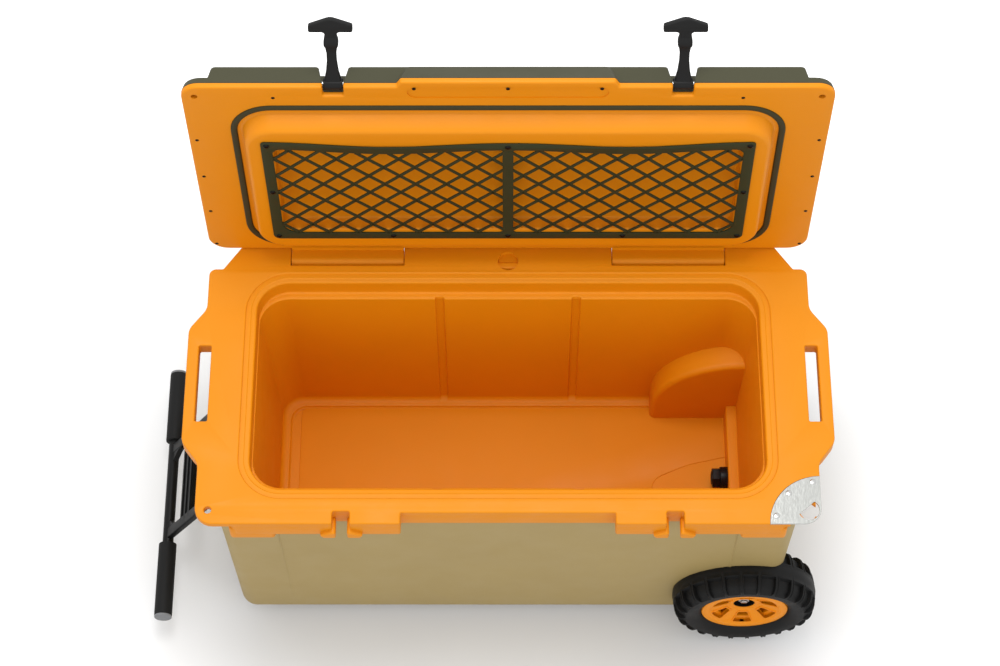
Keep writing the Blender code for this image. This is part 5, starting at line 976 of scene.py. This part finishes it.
# Each wheel is a tyre of black rubber, moulded with a smooth middle band and deep pockets between its
# shoulder lugs, pressed on a dished orange hub. It turns on a steel stub bolt in the shell.
face_y, tyre_width, bead_radius, lug_count = -0.0056, 0.0696, 0.0633, 24
half_profile = ((bead_radius, 0.0112, 0, 0), (0.0642, 0.0088, 0, 0), (0.0665, 0.0058, 0, 0),
                (0.0700, 0.0032, 0, 0), (0.0745, 0.0012, 0, 0), (0.0800, 0.0001, 0, 0),
                (0.0860, 0.0000, 0, 0), (0.0885, 0.0002, 0.35, 1), (0.0910, 0.0006, 0.8, 1),
                (0.0940, 0.0014, 1, 1), (0.0965, 0.0030, 1, 1), (0.0988, 0.0058, 1, 1),
                (0.1005, 0.0095, 1, 1), (0.1018, 0.0145, 1, 1), (0.1027, 0.0205, 1, 1),
                (0.1030, 0.0232, 0, 1), (0.1033, 0.0244, 0, 1), (0.1036, 0.0252, 0, 0),
                (0.1045, 0.0300, 0, 0), (0.1050, 0.0345, 0, 0))
profile = list(half_profile) + [(radius, tyre_width - depth, pocket, frame_bar)
                                for radius, depth, pocket, frame_bar in reversed(half_profile[:-1])]
lug_shares = (-0.50, -0.440, -0.430, -0.405, -0.395, -0.380, -0.20, 0.0, 0.20, 0.380, 0.395, 0.405,
              0.430, 0.440)
pocket_depth, frame_rise = 0.0048, 0.0007
# Hard black tyre rubber: dull, with a coarse mould grain.
tyre_rubber = matt_moulding("black_tyre_rubber", "#141414", 0.5, 900.0)


def wheel_point(radius, angle, depth):
    """Place on the front wheel at a depth behind its outer face."""
    return (wheel_x + radius * cos(angle), face_y + depth, wheel_radius + radius * sin(angle))


def tyre_section(angle, share):
    """Section of the tyre at an angle, with its pockets and their raised frames."""
    ring = []
    for index, (radius, depth, pocket, frame_bar) in enumerate(profile):
        before, after = profile[max(index - 1, 0)], profile[min(index + 1, len(profile) - 1)]
        along = Vector((after[0] - before[0], after[1] - before[1])).normalized()
        out = Vector((along.y, -along.x))
        rise = 0.0
        if abs(share) <= 0.381 and pocket:
            rise = -pocket_depth * pocket
        elif abs(share) < 0.435 and frame_bar and (abs(share) > 0.39 or not pocket):
            rise = frame_rise
        radius, depth = radius + out.x * rise, depth + out.y * rise
        ring.append(wheel_point(min(radius, 0.1050), angle, max(depth, 0.0)))
    return ring


tyre_rings = [tyre_section(2 * pi * (lug - 0.04 + share) / lug_count, share)
              for lug in range(lug_count) for share in lug_shares]
# Injection-moulded orange nylon, smoother and brighter than the tub.
hub_plastic = polyethylene("orange_moulded_hub_nylon", "#E88B03", "#EE9005", 0.42)
hub_set, hub_slope = 0.0054, 0.0085 / 0.0270


def hub_surface(radius):
    """Depth of the dish behind the wheel's outer face at a radius."""
    return 0.0065 + (0.0470 - radius) * hub_slope


hub_profile = [(0.0155, 0.0152), (0.0165, 0.0146), (0.0190, 0.0146), (0.0205, 0.0150)]
hub_profile += [(radius, hub_surface(radius)) for radius in (0.0225, 0.0300, 0.0380, 0.0460)]
hub_profile += [(0.0480, 0.0058), (0.0505, 0.0037), (0.0520, 0.0029), (0.0535, 0.0026), (0.0605, 0.0026),
                (0.0622, 0.0031), (0.0630, 0.0045), (0.0630, 0.0535), (0.0530, 0.0575)]
hub_profile += [(radius, hub_surface(radius) + 0.0060) for radius in (0.0470, 0.0200)]
hub_profile += [(0.0200, 0.0640), (0.0065, 0.0640), (0.0065, 0.0270), (0.0155, 0.0270)]
window_count, window_turn, window_inner, window_outer = 6, radians(17.0), 0.0265, 0.0485


def window_loop(grown):
    """Outline of a window in radius and angle, grown by a rim."""
    steps = 6
    outer = [(window_outer + grown, window_turn * share * (1 + grown / 0.016))
             for share in np.linspace(-1, 1, steps)]
    inner = [(window_inner - grown, window_turn * share * (0.80 + grown / 0.010))
             for share in np.linspace(1, -1, steps)]
    points = [(radius * cos(turn), radius * sin(turn), 0.0) for radius, turn in outer + inner]
    for index in (0, steps - 1, steps, 2 * steps - 1):
        points[index] = (*points[index][:2], 0.0030 + max(grown, 0.0))
    rounded = soften(points, 5)
    return [(sqrt(x * x + y * y), atan2(y, x)) for x, y in rounded]


def wheel_shapes():
    """Tyre, hub, and the rim and sloping floor of each hub window, on the front wheel."""
    hub = loft([[wheel_point(radius, 2 * pi * step / 96, depth + hub_set) for radius, depth in hub_profile]
                for step in range(96)], closed=True)
    cutters, extras = [], []
    for index in range(window_count):
        middle = 2 * pi * (index + 0.5) / window_count
        cutters.append(loft([[wheel_point(radius, middle + turn, depth)
                              for radius, turn in window_loop(0.0)] for depth in (-0.01, 0.06)]))
        rim_rings = []
        for grown, sink in ((0.0, 0.0030), (0.0, -0.0012), (0.0004, -0.0017), (0.0012, -0.0017),
                            (0.0018, -0.0010), (0.0022, 0.0008), (0.0022, 0.0030)):
            rim_rings.append([wheel_point(radius, middle + turn,
                                          hub_surface(min(radius, 0.0475)) + hub_set + sink)
                              for radius, turn in window_loop(grown)])
        extras.append(loft(rim_rings, closed=True))
        ramp = [(0.0560, 0.0062), (0.0560, 0.0100), (0.0455, 0.0170), (0.0455, 0.0137)]
        extras.append(loft([[wheel_point(radius, middle + window_turn * share, depth + hub_set)
                             for radius, depth in ramp] for share in (-1.02, -0.5, 0.0, 0.5, 1.02)]))
    return loft(tyre_rings, closed=True), carve(hub, cutters), extras


# Plain stainless fasteners: bright, with no direction to their finish.
bright_steel = metal("bright_stainless_steel", "#C4C4C2", 0.24, (500.0, 500.0, 500.0))
hub_y = face_y + hub_set
for name, turn in (("front", Matrix.Identity(4)),
                   ("rear", Matrix.Translation((0.0, 2 * wheel_mid, 0.0))
                    @ Matrix.Scale(-1, 4, (0, 1, 0)))):
    tyre, hub, rims = wheel_shapes()
    bolt = plate([circle(wheel_x, wheel_radius, 0.0088, 6)], hub_y + 0.0185, hub_y + 0.0250, 0.0010, 3,
                 axis="Y")
    stub = plate([circle(wheel_x, wheel_radius, 0.0052, 24)], hub_y + 0.0165, hub_y + 0.1000, 0.0008, 2,
                 axis="Y")
    bush = plate([circle(wheel_x, wheel_radius, 0.0153, 48), circle(wheel_x, wheel_radius, 0.0148, 48)],
                 hub_y + 0.0158, hub_y + 0.0268, 0.0001, 1, axis="Y")
    bush_floor = plate([circle(wheel_x, wheel_radius, 0.0153, 48),
                        circle(wheel_x, wheel_radius, 0.0060, 32)],
                       hub_y + 0.0255, hub_y + 0.0268, 0.0002, 1, axis="Y")
    for shape in [tyre, hub, bolt, stub, bush, bush_floor] + rims:
        shape.transform(turn)
        bmesh.ops.recalc_face_normals(shape, faces=shape.faces)
    build("tyre_lugged_" + name, [tyre], stand, tyre_rubber, name + "_wheel", ["tyre_" + name],
          32.0)
    build("hub_dished_" + name, [hub] + rims, stand, hub_plastic, name + "_wheel", ["hub_" + name],
          32.0)
    build("hub_bush_" + name, [bush, bush_floor], stand, black_nylon, name + "_wheel", ())
    build("axle_nut_and_stub_" + name, [bolt, stub], stand, bright_steel, "tub", ["axle_bolt_" + name])
    refinish("axle_washer_" + name, bright_steel)

# The bottle opener is a stainless steel plate, stamped and let into the rim's corner flush with the
# top, with three countersunk screws. Its hole has a straight edge to catch the cap.
hole_x, hole_y, hole_radius, hole_chord = 0.4070, 0.0205, 0.0145, 0.0040
heading, half_turn = atan2(hole_y, hole_x - rim_half), acos(hole_chord / hole_radius)
hole_loop = [(hole_x + hole_radius * cos(heading + angle), hole_y + hole_radius * sin(heading + angle))
             for angle in np.linspace(half_turn, 2 * pi - half_turn, 33)]
screw_ring = opener_radius - 0.0080
opener_spots = [(rim_half + screw_ring * cos(radians(turn)), screw_ring * sin(radians(turn)))
                for turn in (99.0, 134.0, 169.0)]
# Sheet brushed one way: pale grey, with fine streaks.
brushed_steel = metal("brushed_stainless_steel", "#C4C5C1", 0.16, (1400.0, 160.0, 160.0), 0.04)
sheet_plate = plate([opener_loop(opener_radius), hole_loop], rim_z - opener_thick, rim_z, 0.0004, 2)
build("opener_plate_stamped", [sheet_plate], stand, brushed_steel, "tub", ["opener_plate"],
      12.0)
heads = grow("opener_screw_heads", bright_steel, screw_nodes, screw_inputs, [0.0044, 0.20, 0.0046, 0.0010],
             [(x, -y, -rim_z) for x, y in opener_spots])
build("opener_screws", [heads], stand @ Matrix.Rotation(pi, 4, "X"), bright_steel, "tub",
      ["opener_screw_1", "opener_screw_2", "opener_screw_3"])

# The drain is a threaded black nylon tube through the end wall. A flanged nut holds it inside, and
# outside a ribbed cap screws down on a rubber seal.
nut_x, outside = 0.3290, end_wall - 0.0140


def drain_ring(outer, inner, low, high, edge, steps, sides=48, inner_sides=32):
    """Ring on the drain's axis, from its radii and its ends in X."""
    return plate([circle(drain_y, drain_z, outer, sides), circle(drain_y, drain_z, inner, inner_sides)],
                 low, high, edge, steps, axis="X")


nut = drain_ring(0.0155, 0.0103, nut_x - 0.0235, nut_x - 0.0115, 0.0015, 3, 6)
washer = drain_ring(0.0165, 0.0103, nut_x - 0.0120, nut_x - 0.0003, 0.0010, 2)
build("drain_nut_flanged", [nut, washer], stand, black_nylon, "tub", ["drain_nut"])
tube = drain_ring(0.0100, 0.0065, nut_x - 0.0248, outside + 0.0120, 0.0006, 2, 40)
threads = [drain_ring(0.01025, 0.0090, outside + start, outside + start + 0.0010, 0.0004, 2, 40)
           for start in (0.0055, 0.0075, 0.0095)]
flange_ring = drain_ring(0.0170, 0.0090, outside + 0.0003, outside + 0.0043, 0.0010, 3)
build("drain_tube_and_flange", [tube, flange_ring] + threads, stand, black_nylon, "tub", ["drain_body"])
seal_x = outside + 0.0046
cap_x = seal_x + 0.0023
ring_seal = drain_ring(0.0149, 0.0105, seal_x, seal_x + 0.0020, 0.0007, 3, 48, 40)
build("drain_seal_ring", [ring_seal], stand, grip_rubber, "drain_washer", ["drain_seal"])
cap_loop, rib_count, stopper_radius = [], 24, 0.0148
for rib in range(rib_count):
    for share, rise in ((0.0, 0.0), (0.25, 0.0), (0.38, 0.0010), (0.62, 0.0012), (0.75, 0.0010)):
        angle, radius = 2 * pi * (rib + share) / rib_count, stopper_radius + rise
        cap_loop.append((drain_y + radius * cos(angle), drain_z + radius * sin(angle)))
cap_wall = plate([cap_loop, circle(drain_y, drain_z, 0.0104, 40)], cap_x, cap_x + 0.0095, 0.0006, 2,
                 axis="X")
cap_top = plate([circle(drain_y, drain_z, 0.0150, 60)], cap_x + 0.0088, cap_x + 0.0119, 0.0012, 4,
                axis="X")
build("drain_cap_ribbed", [cap_wall, cap_top], stand, black_nylon, "drain_stopper", ["drain_cap"])

# Two feet of black rubber stand under the end without wheels, each a plug pressed up into the shell,
# with a rounded tread edge.
for node in ("foot_front", "foot_rear"):
    foot_low, foot_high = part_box(node)
    centre_x, centre_y = (foot_low[0] + foot_high[0]) / 2, (foot_low[1] + foot_high[1]) / 2
    disc = loft([[(centre_x + radius * cos(2 * pi * step / 48), centre_y + radius * sin(2 * pi * step / 48),
                   height) for step in range(48)] for height, radius in (
        (0.0, 0.0170), (0.0004, 0.0182), (0.0016, 0.0190), (0.0260, 0.0216), (foot_high[2], 0.0216))])
    build(node + "_rubber", [disc], Matrix.Identity(4), grip_rubber, "tub", [node])

# Out of sight: polyurethane foam poured between the walls and into the lid, drawn as simple blocks,
# and the steel pins that the latches turn on, which keep their CAD shape.
# Poured foam: cream and quite matt.
foam = matt_moulding("cream_polyurethane_foam", "#E6E0CC", 0.8, 500.0)
lid_filling = plate([box_loop(-0.3850, 0.3850, 0.0300, 0.3850, 0.0250)], rim_z + 0.0095, rim_z + 0.0330)
build("foam_in_lid", [lid_filling], swing, foam, "lid", ["lid_foam"])
wall_foam = plate([box_loop(-0.3850, 0.3850, 0.0400, 0.3790, 0.0250),
                   box_loop(-0.3615, 0.3615, 0.0455, 0.3760, 0.0200)], rim_z - 0.1900, rim_z - 0.0300)
floor_foam = plate([box_loop(-0.3400, 0.2000, 0.0600, 0.3600, 0.02)], 0.0400, 0.0880)
build("foam_between_walls", [wall_foam, floor_foam], stand, foam, "tub", ["body_foam"])
for node in ("latch_pin_left", "latch_pin_right"):
    refinish(node, bright_steel)
